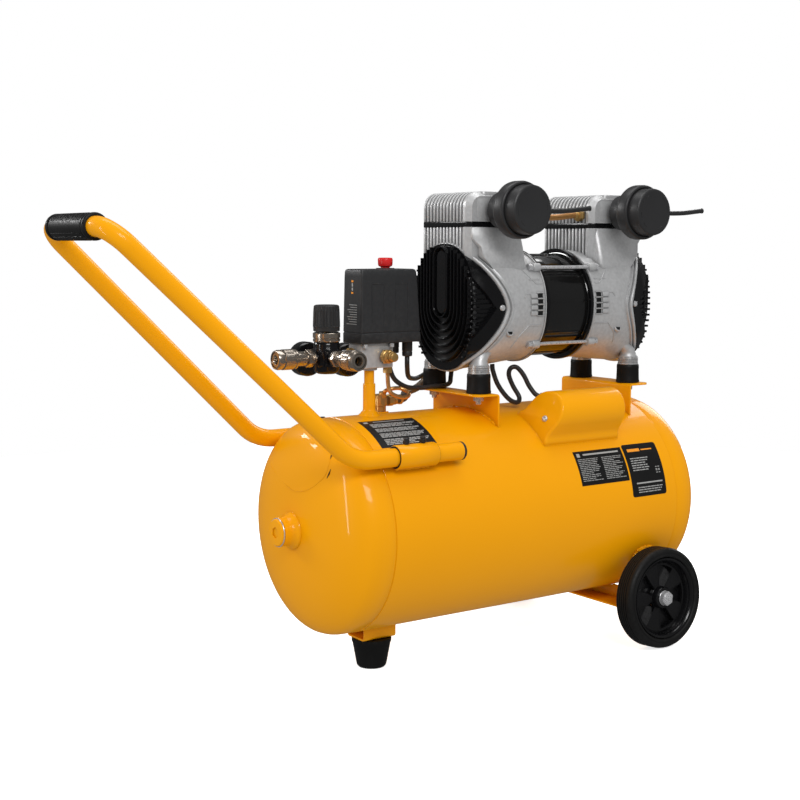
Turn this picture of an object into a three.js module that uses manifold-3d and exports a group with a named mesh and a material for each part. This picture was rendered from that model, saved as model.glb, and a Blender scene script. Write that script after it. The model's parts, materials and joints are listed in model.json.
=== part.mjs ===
// Wheelbarrow air compressor: an oil-free twin-cylinder pump on a horizontal receiver with two wheels,
// a front foot and a sliding U handle. Millimetres, +Z up, floor at z = 0.
// +X runs along the receiver from the handle end to the wheel end; right is -Y, left is +Y.
import * as THREE from 'three';
import { mergeVertices } from 'three/addons/utils/BufferGeometryUtils.js';
import Module from 'manifold-3d';

const wasm = await Module();
wasm.setup();

// ---- driving dimensions ----
const ORIGIN_X = -148; // middle of the overall length, measured from the receiver's centre
const AXIS_HEIGHT = 211.5; // receiver axis above the floor
const GAP = 0.3; // clearance between touching pieces

const TANK_R = 150;
const TANK_HALF = 273.75; // half the straight length
const DOME = 55.8; // depth of each head
const DOME_POWER = 2.49; // superellipse power of the head's outline
const WALL = 3;
const PORT_R = 9;

const PUMP_X = 98;
const PUMP_Z = 298; // crank axis above the receiver axis
const HEAD_OFFSET = 117; // cylinder axis from the pump's middle
const MOUNT_OFFSET = 147; // rubber mounts from the pump's middle
const MOUNT_Y = 53;
const STATOR_HALF = 45.5;
const BLOCK_X = 51.5; // half length of a cylinder block
const BLOCK_Y = 54; // half width of a cylinder block
const BLOCK_TOP = 114.5; // above the crank axis
const HEAD_TOP = 164.5;
const PISTON_R = 31;
const THROW = 8; // crank throw
const POD_FRONT = 179; // outer face of a fan cover from the pump's middle
const COVER_TIP = 106; // where the fan cover's side ends in a point

const SADDLE_TOP = 176.3; // top of the saddles above the receiver axis
const SADDLE_PLATE = 3;
const SADDLE_HALF_Y = 78;
const MOUNT_H = 28.7;

const WHEEL_R = 75;
const WHEEL_W = 30;
const RIM_R = 61;
const WHEEL_X = 210;
const WHEEL_Y = 165; // wheel centre
const CAMBER = 4 * Math.PI / 180;
const BOLT_R = 6;

const TUBE_R = 12.5;
const SLEEVE_R = 16;
const RAIL_R = 166.8; // handle tube's axis from the receiver axis
const RAIL_ANGLE = 41 * Math.PI / 180; // above the horizontal
const BAR_X = -628; // cross bar of the handle
const BAR_Z = 408;
const BAR_HALF_Y = 96; // where the legs would meet the bar without its bends

const STAND_X = -202; // standpipe
const AIR_Z = 234; // couplers' height
const REG_X = -272;

// ---- helpers ----
const root = new THREE.Group();
const machine = new THREE.Group(); // everything, placed from the receiver's centre
machine.position.set(-ORIGIN_X, 0, AXIS_HEIGHT);
root.add(machine);

const V = (x, y, z) => new THREE.Vector3(x, y, z);

function material(color, roughness, metalness) {
  return new THREE.MeshStandardMaterial({ color, roughness, metalness });
}
const yellow = () => material(0xf0a000, 0.3, 0.0);
const blackPlastic = () => material(0x17181a, 0.35, 0.0);
const greyPlastic = () => material(0x3a3c3f, 0.55, 0.0);
const rubber = () => material(0x121212, 0.8, 0.0);
const castAluminium = () => material(0xb9bcbf, 0.45, 0.9);
const steel = () => material(0xc8cacc, 0.3, 1.0);
const brass = () => material(0xc8963c, 0.3, 1.0);
const nickel = () => material(0xb8aa98, 0.25, 1.0);

function solid(geometry) {
  const bare = geometry.clone();
  bare.deleteAttribute('normal');
  bare.deleteAttribute('uv');
  const merged = mergeVertices(bare, 1e-4);
  const position = merged.attributes.position;
  const index = merged.index.array;
  const kept = [];
  let volume = 0;
  for (let i = 0; i < index.length; i += 3) {
    const [a, b, c] = [index[i], index[i + 1], index[i + 2]];
    if (a === b || b === c || c === a) continue;
    kept.push(a, b, c);
    const [p, q, r] = [a, b, c].map((k) => new THREE.Vector3().fromBufferAttribute(position, k));
    volume += p.dot(q.cross(r));
  }
  if (volume < 0) kept.reverse(); // faces always point out
  return new wasm.Manifold(new wasm.Mesh({
    numProp: 3,
    vertProperties: new Float32Array(position.array),
    triVerts: new Uint32Array(kept),
  }));
}

function geometryOf(manifold) {
  const mesh = manifold.getMesh();
  const geometry = new THREE.BufferGeometry();
  geometry.setAttribute('position', new THREE.BufferAttribute(mesh.vertProperties, 3));
  geometry.setIndex(new THREE.BufferAttribute(mesh.triVerts, 1));
  geometry.computeVertexNormals();
  return geometry;
}

function join(...geometries) {
  return geometryOf(geometries.map(solid).reduce((a, b) => a.add(b)));
}

function cut(base, ...tools) {
  return geometryOf(tools.map(solid).reduce((a, b) => a.subtract(b), solid(base)));
}

function common(a, b) {
  return geometryOf(solid(a).intersect(solid(b)));
}

function add(name, geometry, finish, group = machine) {
  const mesh = new THREE.Mesh(geometryOf(solid(geometry)), finish);
  mesh.name = name;
  group.add(mesh);
  return mesh;
}

function box(x0, x1, y0, y1, z0, z1) {
  const g = new THREE.BoxGeometry(x1 - x0, y1 - y0, z1 - z0);
  return g.translate((x0 + x1) / 2, (y0 + y1) / 2, (z0 + z1) / 2);
}

// Turned shape about +Z: outline of [radius, z] from the axis at the bottom to the axis at the top.
function turned(outline, segments = 24) {
  const points = outline.map(([r, z]) => new THREE.Vector2(r, z));
  return new THREE.LatheGeometry(points, segments).rotateX(Math.PI / 2);
}

// Turned ring about +Z: the outline closes on itself and stays clear of the axis.
function ring(outline, segments = 24) {
  return turned([...outline, outline[0]], segments);
}

function rod(r, z0, z1, segments = 24) {
  return turned([[0, z0], [r, z0], [r, z1], [0, z1]], segments);
}

const alongX = (g) => g.rotateY(Math.PI / 2); // +Z becomes +X
const alongY = (g) => g.rotateX(-Math.PI / 2); // +Z becomes +Y
const alongMinusY = (g) => g.rotateX(Math.PI / 2); // +Z becomes -Y
const alongMinusX = (g) => g.rotateY(-Math.PI / 2); // +Z becomes -X

function hexagon(acrossFlats) {
  const shape = new THREE.Shape();
  const r = acrossFlats / Math.sqrt(3);
  for (let i = 0; i < 6; i++) {
    const a = i * Math.PI / 3;
    if (i) shape.lineTo(r * Math.cos(a), r * Math.sin(a));
    else shape.moveTo(r, 0);
  }
  shape.closePath();
  return shape;
}

function prism(shape, z0, z1) {
  const g = new THREE.ExtrudeGeometry(shape, { depth: z1 - z0, bevelEnabled: false, curveSegments: 6 });
  return g.translate(0, 0, z0);
}

// Polygon in the X-Z plane, extruded along Y from y0 to y1.
function slab(points, y0, y1) {
  const shape = new THREE.Shape(points.map(([x, z]) => new THREE.Vector2(x, z)));
  return prism(shape, -y1, -y0).rotateX(Math.PI / 2);
}

function tubeAlong(points, radius, sides, steps) {
  const circle = new THREE.Shape();
  for (let i = 0; i < sides; i++) {
    const a = i * 2 * Math.PI / sides;
    if (i) circle.lineTo(radius * Math.cos(a), radius * Math.sin(a));
    else circle.moveTo(radius, 0);
  }
  const path = new THREE.CatmullRomCurve3(points, false, 'centripetal');
  return new THREE.ExtrudeGeometry(circle, { steps, extrudePath: path, bevelEnabled: false });
}

// Closed skin through equal rings of points, first and last ring capped by a fan.
function loft(rings) {
  const n = rings[0].length;
  const positions = rings.flat().flatMap((p) => [p.x, p.y, p.z]);
  const index = [];
  for (let k = 0; k + 1 < rings.length; k++) {
    for (let i = 0; i < n; i++) {
      const j = (i + 1) % n;
      const [a, b, c, d] = [k * n + i, k * n + j, (k + 1) * n + i, (k + 1) * n + j];
      index.push(a, b, d, a, d, c);
    }
  }
  const last = (rings.length - 1) * n;
  for (let i = 1; i + 1 < n; i++) {
    index.push(0, i + 1, i);
    index.push(last, last + i, last + i + 1);
  }
  const g = new THREE.BufferGeometry();
  g.setAttribute('position', new THREE.Float32BufferAttribute(positions, 3));
  g.setIndex(index);
  return g;
}

// ---- receiver ----
function tankOutline(inset, steps) {
  const r = TANK_R - inset;
  const depth = DOME - inset;
  const head = [];
  for (let i = 0; i <= steps; i++) {
    const a = (i / steps) * Math.PI / 2;
    const s = Math.sin(a) ** (2 / DOME_POWER);
    const c = Math.cos(a) ** (2 / DOME_POWER);
    head.push([i === 0 ? 0 : r * s, TANK_HALF + depth * (i === steps ? 0 : c)]);
  }
  return [...head.map(([q, x]) => [q, -x]), ...head.reverse()];
}

function receiver() {
  const outer = alongX(turned(tankOutline(0, 6), 28));
  const inner = alongX(turned(tankOutline(WALL, 4), 28));
  const tip = -(TANK_HALF + DOME);
  const boss = alongX(turned([[0, tip - 21], [19, tip - 21], [20, tip - 8], [25.7, tip - 1], [25.7, tip + 6],
    [0, tip + 6]])); // welded boss of the plug
  const pipe = turned([[0, TANK_R - 6], [14, TANK_R - 6], [13, TANK_R + 3], [8.7, TANK_R + 8],
    [8.7, TANK_R + 44], [7, TANK_R + 48], [7, AIR_Z - 21], [0, AIR_Z - 21]], 16).translate(STAND_X, 0, 0);
  const port = alongX(rod(PORT_R, tip - 30, tip + 20, 16));
  const bore = rod(4, TANK_R - 20, AIR_Z, 8).translate(STAND_X, 0, 0);
  const drainHole = rod(4, -TANK_R - 10, -TANK_R + 10, 8);
  drainHole.rotateX(DRAIN_ANGLE).translate(DRAIN_X, 0, 0);
  add('tank_shell', cut(join(outer, boss, pipe), inner, port, bore, drainHole), yellow());
}

const DRAIN_X = 80;
const DRAIN_ANGLE = 28 * Math.PI / 180; // left of straight down

function tankPlug() {
  const face = -(TANK_HALF + DOME) - 25.5;
  const body = alongX(turned([[0, face], [17.5, face], [18.8, face + 1.5], [18.8, face + 4.2],
    [PORT_R - GAP, face + 4.2], [PORT_R - GAP, face + 18], [0, face + 18]]));
  const socket = alongX(prism(hexagon(14), face - 1, face + 9));
  add('tank_plug', cut(body, socket), steel());
}

function drainValve() {
  const group = new THREE.Group();
  group.rotation.x = DRAIN_ANGLE;
  group.position.set(DRAIN_X, 0, 0);
  machine.add(group);
  const top = -TANK_R - GAP;
  const stem = ring([[2, top], [7, top], [7, top - 5], [5, top - 6], [5, top - 16], [2, top - 16]], 12);
  add('drain_valve', stem, brass(), group);
  const wing = box(-11, 11, -2, 2, top - 26, top - 19);
  const hub = rod(6, top - 24, top - 16.5, 12);
  add('drain_tap', join(hub, wing), brass(), group);
}

// ---- chassis ----
function tankRoom() {
  return alongX(rod(TANK_R + GAP, -TANK_HALF, TANK_HALF, 56));
}

const FOOT_X = -198;
const CHANNEL_Z = -168; // underside of the foot channel

function footChannel() {
  const [w, l] = [22, 27];
  const outer = box(FOOT_X - l, FOOT_X + l, -w, w, CHANNEL_Z, -TANK_R + 10);
  const inner = box(FOOT_X - l - 1, FOOT_X + l + 1, -w + 3, w - 3, CHANNEL_Z + 3, -TANK_R + 20);
  const hole = rod(4.2, CHANNEL_Z - 1, CHANNEL_Z + 4, 12).translate(FOOT_X, 0, 0);
  const sides = cut(outer, inner, tankRoom(), hole);
  add('foot_channel', sides, yellow());
}

function foot() {
  const floor = -AXIS_HEIGHT;
  const top = CHANNEL_Z - GAP;
  const outline = [[0, floor], [19, floor], [21, floor + 3], [28.5, top - 3], [28.5, top], [0, top]];
  add('foot', turned(outline, 20).translate(FOOT_X, 0, 0), rubber());
}

function axleBracket() {
  const [x0, x1, low] = [188, 228, -163];
  const inner = 142.6; // inner face of each upright at the bottom
  const flange = box(x0, x1, -inner - 1, inner + 1, low, low + 3);
  const web = box(x1 - 3, x1, -inner - 1, inner + 1, low, low + 22);
  const pieces = [flange, web];
  for (const side of [-1, 1]) {
    const upright = slab([[x0, 0], [x1, 0], [x1 - 2, 60], [x1 - 6, 98], [x0 + 6, 98], [x0 + 2, 60]], 0, 3);
    if (side < 0) upright.translate(0, -3, 0);
    upright.rotateX(side * CAMBER).translate(0, side * inner, low);
    pieces.push(upright);
  }
  const holes = [-1, 1].map((side) => wheelFrame(rod(BOLT_R + 0.2, -30, 30, 16), side));
  add('axle_bracket', cut(join(...pieces), ...holes, tankRoom()), yellow());
}

// Moves a shape built about +Z (outward) onto the wheel's axis.
function wheelFrame(geometry, side) {
  const outward = side < 0 ? alongMinusY(geometry) : alongY(geometry);
  return outward.rotateX(side * CAMBER).translate(WHEEL_X, side * WHEEL_Y, wheelZ());
}

function wheelZ() {
  const shoulder = WHEEL_W / 2 - 3;
  return -AXIS_HEIGHT + WHEEL_R * Math.cos(CAMBER) + shoulder * Math.sin(CAMBER);
}

const WHEEL_SIDES = 22;

function wheel(side, suffix) {
  const w = WHEEL_W / 2;
  const tyre = ring([[RIM_R, -w + 2], [RIM_R + 3, -w], [WHEEL_R - 4, -w], [WHEEL_R, -w + 3], [WHEEL_R, w - 3],
    [WHEEL_R - 4, w], [RIM_R + 3, w], [RIM_R, w - 2]], WHEEL_SIDES);
  add(`tyre_${suffix}`, wheelFrame(tyre, side), rubber());
  const r = RIM_R - GAP;
  const hub = ring([[BOLT_R + 0.1, -w], [15, -w], [16, -4], [52, -4], [54, -w + 2], [r, -w + 2], [r, w - 2],
    [54, w - 2], [52, 4], [16, 4], [14, w - 5], [BOLT_R + 0.1, w - 5]], WHEEL_SIDES);
  const windows = [];
  const half = 18.5 * Math.PI / 180; // half angle of a window between two spokes
  for (let i = 0; i < 5; i++) {
    const shape = new THREE.Shape();
    const middle = i * 2 * Math.PI / 5;
    const [a0, a1] = [middle - half, middle + half];
    shape.moveTo(20 * Math.cos(a0), 20 * Math.sin(a0));
    shape.lineTo(47 * Math.cos(a0), 47 * Math.sin(a0));
    shape.lineTo(47 * Math.cos(a1), 47 * Math.sin(a1));
    shape.lineTo(20 * Math.cos(a1), 20 * Math.sin(a1));
    shape.closePath();
    windows.push(prism(shape, -10, 10));
  }
  add(`hub_${suffix}`, wheelFrame(cut(hub, ...windows), side), blackPlastic());
  const shank = rod(BOLT_R, -33, w, 16);
  const head = prism(hexagon(19), w - 3, w + 4.6);
  const washer = rod(11, w - 5 + GAP, w - 3, 16);
  const nut = prism(hexagon(19), -35, -26);
  add(`axle_bolt_${suffix}`, wheelFrame(join(shank, head, washer, nut), side), steel());
}

// ---- handle ----
const RAIL_Y = RAIL_R * Math.cos(RAIL_ANGLE);
const RAIL_Z = RAIL_R * Math.sin(RAIL_ANGLE);
const SLEEVE_X = -214;
const SCREW_SPACING = 13.5; // half the distance between the lock screws
const SLEEVE_HALF = 32;
const TUBE_END_X = -134.5;
const KNEE_X = -312; // where the leg would turn up without its bend

// Stations round a bend of the given radius at a corner between two straights.
function bend(from, at, to, radius) {
  const back = from.clone().sub(at).normalize();
  const on = to.clone().sub(at).normalize();
  const turn = Math.PI - back.angleTo(on);
  const reach = radius * Math.tan(turn / 2);
  const centre = back.clone().add(on).setLength(radius / Math.cos(turn / 2)).add(at);
  const first = at.clone().addScaledVector(back, reach).sub(centre);
  const last = at.clone().addScaledVector(on, reach).sub(centre);
  const stations = [];
  for (let i = 0; i <= BEND_STEPS; i++) {
    const a = turn * i / BEND_STEPS;
    const out = first.clone().multiplyScalar(Math.sin(turn - a)).addScaledVector(last, Math.sin(a));
    out.divideScalar(Math.sin(turn));
    const tangent = first.clone().multiplyScalar(-Math.cos(turn - a)).addScaledVector(last, Math.cos(a));
    stations.push({ point: out.add(centre), tangent: tangent.normalize() });
  }
  return stations;
}
const BEND_STEPS = 5;
const TUBE_SIDES = 12;
const KNEE_RADIUS = 70;
const CORNER_RADIUS = 36;

function handleStations(end) {
  const start = V(end, -RAIL_Y, RAIL_Z);
  const knee = V(KNEE_X, -RAIL_Y, RAIL_Z);
  const corner = V(BAR_X, -BAR_HALF_Y, BAR_Z);
  const middle = V(BAR_X, 0, BAR_Z);
  const half = [{ point: start, tangent: V(-1, 0, 0) }, ...bend(start, knee, corner, KNEE_RADIUS),
    ...bend(knee, corner, middle, CORNER_RADIUS)];
  const other = half.slice().reverse().map(({ point, tangent }) => ({
    point: V(point.x, -point.y, point.z),
    tangent: V(-tangent.x, tangent.y, -tangent.z),
  }));
  return [...half, ...other];
}

// Rings of points round a path, with the ring's plane square to the path.
function sweep(stations, radius, sides) {
  const rings = stations.map(({ point, tangent }) => {
    const side = V(0, 0, 1).cross(tangent).normalize();
    const up = tangent.clone().cross(side);
    const circle = [];
    for (let i = 0; i < sides; i++) {
      const a = i * 2 * Math.PI / sides;
      const offset = side.clone().multiplyScalar(radius * Math.cos(a));
      circle.push(point.clone().add(offset).addScaledVector(up, radius * Math.sin(a)));
    }
    return circle;
  });
  return loft(rings);
}

function handle() {
  const outside = sweep(handleStations(TUBE_END_X), TUBE_R, TUBE_SIDES);
  const inside = sweep(handleStations(TUBE_END_X + 1), TUBE_R - 2, 8);
  add('handle_tube', cut(outside, inside), yellow());
  const r0 = TUBE_R + GAP;
  const h = GRIP_HALF;
  const sleeve = ring([[r0, -h], [16.8, -h], [16.8, 6 - h], [15.6, 8 - h], [15.6, h - 8], [16.8, h - 6],
    [16.8, h], [r0, h]], 16);
  add('grip', alongY(sleeve).translate(BAR_X, 0, BAR_Z), rubber());
}
const GRIP_HALF = 60;

function sleeves() {
  for (const [side, suffix] of [[-1, 'right'], [1, 'left']]) {
    const [y, z] = [side * RAIL_Y, RAIL_Z];
    const bore = TUBE_R + 0.2;
    const section = [[bore, -SLEEVE_HALF], [SLEEVE_R, -SLEEVE_HALF], [SLEEVE_R, SLEEVE_HALF],
      [bore, SLEEVE_HALF]];
    const barrel = alongX(ring(section, TUBE_SIDES)).translate(SLEEVE_X, y, z);
    const holes = [];
    [-SCREW_SPACING, SCREW_SPACING].forEach((dx, i) => {
      holes.push(rod(3.2, 8, 20, 10).translate(SLEEVE_X + dx, y, z));
      const screw = turned([[0, TUBE_R + 0.4], [2.9, TUBE_R + 0.4], [2.9, SLEEVE_R + 1], [4.6, SLEEVE_R + 1],
        [4.6, SLEEVE_R + 8], [3.6, SLEEVE_R + 9], [0, SLEEVE_R + 9]], 10);
      const name = `lock_screw_${suffix}_${i ? 'rear' : 'front'}`;
      add(name, screw.translate(SLEEVE_X + dx, y, z), blackPlastic());
    });
    add(`handle_sleeve_${suffix}`, cut(barrel, ...holes, tankRoom()), yellow());
  }
}

// ---- pump supports ----
function saddle(facing, name) {
  // facing is +1 where the flange hangs from the plate's +X edge
  const centre = PUMP_X - facing * MOUNT_OFFSET;
  const [outer, bend] = [centre - facing * 22, centre + facing * 19];
  const [x0, x1] = [Math.min(outer, bend), Math.max(outer, bend)];
  const plate = box(x0, x1, -SADDLE_HALF_Y, SADDLE_HALF_Y, SADDLE_TOP - SADDLE_PLATE, SADDLE_TOP);
  const [f0, f1] = facing > 0 ? [x1 - 3, x1] : [x0, x0 + 3];
  const flange = box(f0, f1, -SADDLE_HALF_Y, SADDLE_HALF_Y, 120, SADDLE_TOP);
  const holes = [-1, 1].map((s) => rod(4.2, 160, 190, 12).translate(centre, s * MOUNT_Y, 0));
  add(name, cut(join(plate, flange), tankRoom(), ...holes), yellow());
}

function rubberMount(sideX, sideY, name) {
  const [z0, z1] = [SADDLE_TOP + GAP, SADDLE_TOP + MOUNT_H - GAP];
  const body = turned([[0, z0 - 12], [4, z0 - 12], [4, z0], [16.3, z0], [15.2, z1], [4, z1], [4, z1 + 8],
    [0, z1 + 8]], 12);
  add(name, body.translate(PUMP_X + sideX * MOUNT_OFFSET, sideY * MOUNT_Y, 0), rubber());
}

// ---- pump: shapes are built for the wheel end and mirrored for the handle end ----
const POD_SECTIONS = [ // distance from the pump's middle, half width, half height
  [STATOR_HALF + GAP, 80.4, 80.4], [70, 81, 81], [100, 84, 84], [125, 83, 87], [150, 78, 89],
  [POD_FRONT - 5, 70, 89.5], [POD_FRONT, 65, 85],
];
const POD_POWER = 2.25;
const POD_POINTS = 16;

function podSkin(inset, from, to) {
  const rings = POD_SECTIONS.map(([x, w, h]) => {
    const circle = [];
    const at = Math.min(Math.max(x, from), to);
    for (let i = 0; i < POD_POINTS; i++) {
      const a = i * 2 * Math.PI / POD_POINTS;
      const [c, s] = [Math.cos(a), Math.sin(a)];
      const y = Math.sign(c) * Math.abs(c) ** (2 / POD_POWER) * (w - inset);
      const z = Math.sign(s) * Math.abs(s) ** (2 / POD_POWER) * (h - inset);
      circle.push(V(at, y, z));
    }
    return circle;
  });
  return loft(rings);
}

// Side view of the fan cover: full height at its face, running back to a point at mid height.
function coverWedge(shift) {
  const top = 96;
  const face = POD_FRONT + 5;
  const tip = COVER_TIP + shift;
  const root = POD_FRONT - 9 + shift;
  return slab([[face, -top], [face, top], [root, top], [root, 80], [tip + 4, 8], [tip, 0], [tip + 4, -8],
    [root, -80], [root, -top]], -100, 100);
}

function mirrored(geometry, end) {
  return geometry.scale(end, 1, 1).translate(PUMP_X, 0, PUMP_Z);
}

function cylinderBlock(z0, z1) {
  const c = 8;
  const shape = new THREE.Shape();
  const [x, y] = [BLOCK_X, BLOCK_Y];
  const corners = [[-x + c, -y], [x - c, -y], [x, -y + c], [x, y - c], [x - c, y], [-x + c, y], [-x, y - c],
    [-x, -y + c]];
  corners.forEach(([a, b], i) => (i ? shape.lineTo(a, b) : shape.moveTo(a, b)));
  shape.closePath();
  return prism(shape, z0, z1).translate(HEAD_OFFSET, 0, 0);
}

function endBell() {
  const skin = podSkin(0, -Infinity, Infinity);
  const cavity = podSkin(6, 68, Infinity);
  const recess = alongX(rod(72, STATOR_HALF - 5, 58, 20));
  const shaftBore = alongX(rod(8.3, STATOR_HALF - 10, 80, 12));
  const cylinderBore = rod(PISTON_R + 0.4, 20, BLOCK_TOP + 10, 20).translate(HEAD_OFFSET, 0, 0);
  const feet = [-1, 1].map((s) => rod(11.5, SADDLE_TOP + MOUNT_H - PUMP_Z, -55, 12)
    .translate(MOUNT_OFFSET, s * MOUNT_Y, 0));
  const studs = [-1, 1].map((s) => rod(4.3, -140, SADDLE_TOP + MOUNT_H - PUMP_Z + 9, 8)
    .translate(MOUNT_OFFSET, s * MOUNT_Y, 0));
  const behind = coverWedge(-GAP);
  const shell = cut(join(skin, cylinderBlock(30, BLOCK_TOP - GAP), ...feet), behind);
  return cut(shell, cavity, recess, shaftBore, cylinderBore, ...studs);
}

function fanCover() {
  const shell = cut(podSkin(0, -Infinity, Infinity), podSkin(3, -Infinity, POD_FRONT - 3));
  const room = cylinderBlock(0, 170);
  const feet = [-1, 1].map((s) => rod(13, -140, -50, 16).translate(MOUNT_OFFSET, s * MOUNT_Y, 0));
  return cut(common(shell, coverWedge(0)), room, ...feet);
}

function cylinderHead() {
  const [x, z0, z1] = [BLOCK_X, BLOCK_TOP, HEAD_TOP];
  const block = slab([[-x, z0], [x, z0], [x, z1 - 20], [x - 3, z1 - 9], [x - 9, z1 - 3], [x - 20, z1],
    [-x + 20, z1], [-x + 9, z1 - 3], [-x + 3, z1 - 9], [-x, z1 - 20]], -BLOCK_Y, BLOCK_Y);
  return block.translate(HEAD_OFFSET, 0, 0);
}

function intakeFilter() {
  const drum = alongMinusY(turned([[0, BLOCK_Y + GAP], [14, BLOCK_Y + GAP], [14, 62], [26, 64], [28, 88],
    [39, 92], [40.5, 95], [40.5, 112], [34.6, 114], [34.6, 131], [32.5, 133], [0, 133]], 16));
  const pipe = alongX(rod(3.2, 36, INTAKE_REACH, 6)).translate(0, -102, 1);
  return join(drum, pipe).translate(HEAD_OFFSET, 0, 138);
}
const INTAKE_REACH = 133.8; // end of the intake pipe from the filter's axis

function piston() {
  const crown = BLOCK_TOP - 2 * THROW - 3; // at the bottom of its stroke
  return join(rod(PISTON_R, crown - 8, crown, 20), rod(7, 26, crown - 7, 8)).translate(HEAD_OFFSET, 0, 0);
}

function rotor() {
  const half = [[0, -1], [44, -1], [44, 40], [7.9, 40], [7.9, 150], [58, 150], [58, 160], [7.9, 160],
    [7.9, 168], [0, 168]];
  const wheelEnd = alongX(turned(half, 12));
  const crank = alongX(rod(16, HEAD_OFFSET - 7, HEAD_OFFSET + 7, 12)).translate(0, 0, -THROW);
  const end = solid(wheelEnd).add(solid(crank));
  const other = end.rotate([0, 0, 180]);
  return geometryOf(end.add(other)).translate(PUMP_X, 0, PUMP_Z);
}

function pump() {
  for (const [end, suffix] of [[-1, 'front'], [1, 'rear']]) {
    add(`end_bell_${suffix}`, mirrored(endBell(), end), castAluminium());
    add(`fan_cover_${suffix}`, mirrored(fanCover(), end), blackPlastic());
    add(`cylinder_head_${suffix}`, mirrored(cylinderHead(), end), castAluminium());
    add(`piston_${suffix}`, mirrored(piston(), end), castAluminium());
    const filter = intakeFilter().translate(PUMP_X + (end - 1) * HEAD_OFFSET, 0, PUMP_Z);
    add(`intake_filter_${suffix}`, filter, blackPlastic());
    for (const [side, hand] of [[-1, 'right'], [1, 'left']]) {
      rubberMount(end, side, `mount_${suffix}_${hand}`);
    }
  }
  const h = STATOR_HALF;
  const stator = alongX(ring([[46, -h], [77, -h], [77, h], [46, h]], 20)).translate(PUMP_X, 0, PUMP_Z);
  add('stator', stator, blackPlastic());
  add('rotor', rotor(), steel());
}

// ---- capacitor cover on the receiver's upper right side ----
const COVER_ANGLE = 33.6 * Math.PI / 180; // from straight up towards the right

function capacitorOutline(inset) {
  const [r, centre, flare] = [31 - inset, 26, 37 - inset];
  const points = [];
  const steps = 10;
  points.push([flare, -8], [flare, -3 + inset], [r + 1.5, 8]);
  for (let i = 0; i <= steps; i++) {
    const a = i * Math.PI / steps;
    points.push([r * Math.cos(a), centre + r * Math.sin(a)]);
  }
  points.push([-r - 1.5, 8], [-flare, -3 + inset], [-flare, -8]);
  return points;
}

function capacitorCover() {
  const shape = (inset) => new THREE.Shape(capacitorOutline(inset).map(([t, h]) => new THREE.Vector2(t, h)));
  const placed = (g) => alongX(g.rotateZ(Math.PI / 2)).translate(0, 0, TANK_R).rotateX(COVER_ANGLE);
  const outer = placed(prism(shape(0), 25, 170));
  const inner = placed(prism(shape(2), 27, 168));
  add('capacitor_cover', cut(outer, inner, tankRoom()), yellow());
}

// ---- air and switch group over the standpipe ----
const SWITCH_Z = 252;
const KNOB_X = -175;

function rectangle(x0, x1, y, z) {
  return [V(x0, -y, z), V(x1, -y, z), V(x1, y, z), V(x0, y, z)];
}

function pressureSwitch() {
  const housing = loft([rectangle(-231, -129, 24, SWITCH_Z), rectangle(-231, -130, 24, SWITCH_Z + 14),
    rectangle(-229.5, -136, 22.5, SWITCH_Z + 99), rectangle(-227, -139, 20, SWITCH_Z + 102)]);
  const room = box(-226, -141, -19, 19, SWITCH_Z - 1, SWITCH_Z + 90);
  const floorPlate = box(-228, -133, -21, 21, SWITCH_Z, SWITCH_Z + 4);
  const knobHole = rod(5, 300, 400, 12).translate(KNOB_X, 0, 0);
  const glands = GLANDS.map(([x, y, z]) => rod(7.5, z, SWITCH_Z + 2, 12).translate(x, y, 0));
  const screwHole = rod(2.5, SWITCH_Z - 5, SWITCH_Z + 10, 8).translate(-215, 0, 0);
  const shell = join(cut(housing, room), floorPlate);
  add('switch_housing', cut(join(shell, ...glands), knobHole, screwHole), greyPlastic());
  const knob = turned([[0, -20], [4, -20], [4, 1], [6.5, 1], [6.5, 3], [9.5, 5], [10.5, 14], [9.5, 15.5],
    [0, 15.5]], 14);
  add('switch_knob', knob.translate(KNOB_X, 0, SWITCH_Z + 102), material(0xc01018, 0.4, 0));
}

const GLANDS = [[-161, 8, 224], [-137, 0, 230], [-149, 16, 234]]; // leads, then the empty mains gland

function manifoldBlock() {
  const z = AIR_Z;
  const block = box(STAND_X - 24, STAND_X + 30, -17, 17, z - 17, SWITCH_Z - GAP);
  const collar = rod(11, z - 21 + GAP, z - 16, 16).translate(STAND_X, 0, 0);
  const arm = alongMinusX(rod(9, 22, 48, 14)).translate(STAND_X, 0, z);
  const gaugeArm = alongY(rod(6, 16, 37, 12)).translate(-208, 0, 225);
  add('manifold', join(block, collar, arm, gaugeArm), castAluminium());
}

function safetyValve() {
  const z = AIR_Z - 1;
  const section = [[3, 17 + GAP], [8, 17 + GAP], [10, 20], [10, 31], [8, 32], [8, 34], [3, 34]];
  const body = alongMinusY(ring(section, 14));
  add('safety_valve', body.translate(-187, 0, z), brass());
  const cap = alongMinusY(turned([[0, 24], [2.6, 24], [2.6, 34 + GAP], [6.5, 34 + GAP], [7, 36], [6, 42],
    [0, 42]], 14));
  add('safety_valve_cap', cap.translate(-187, 0, z), brass());
}

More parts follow.
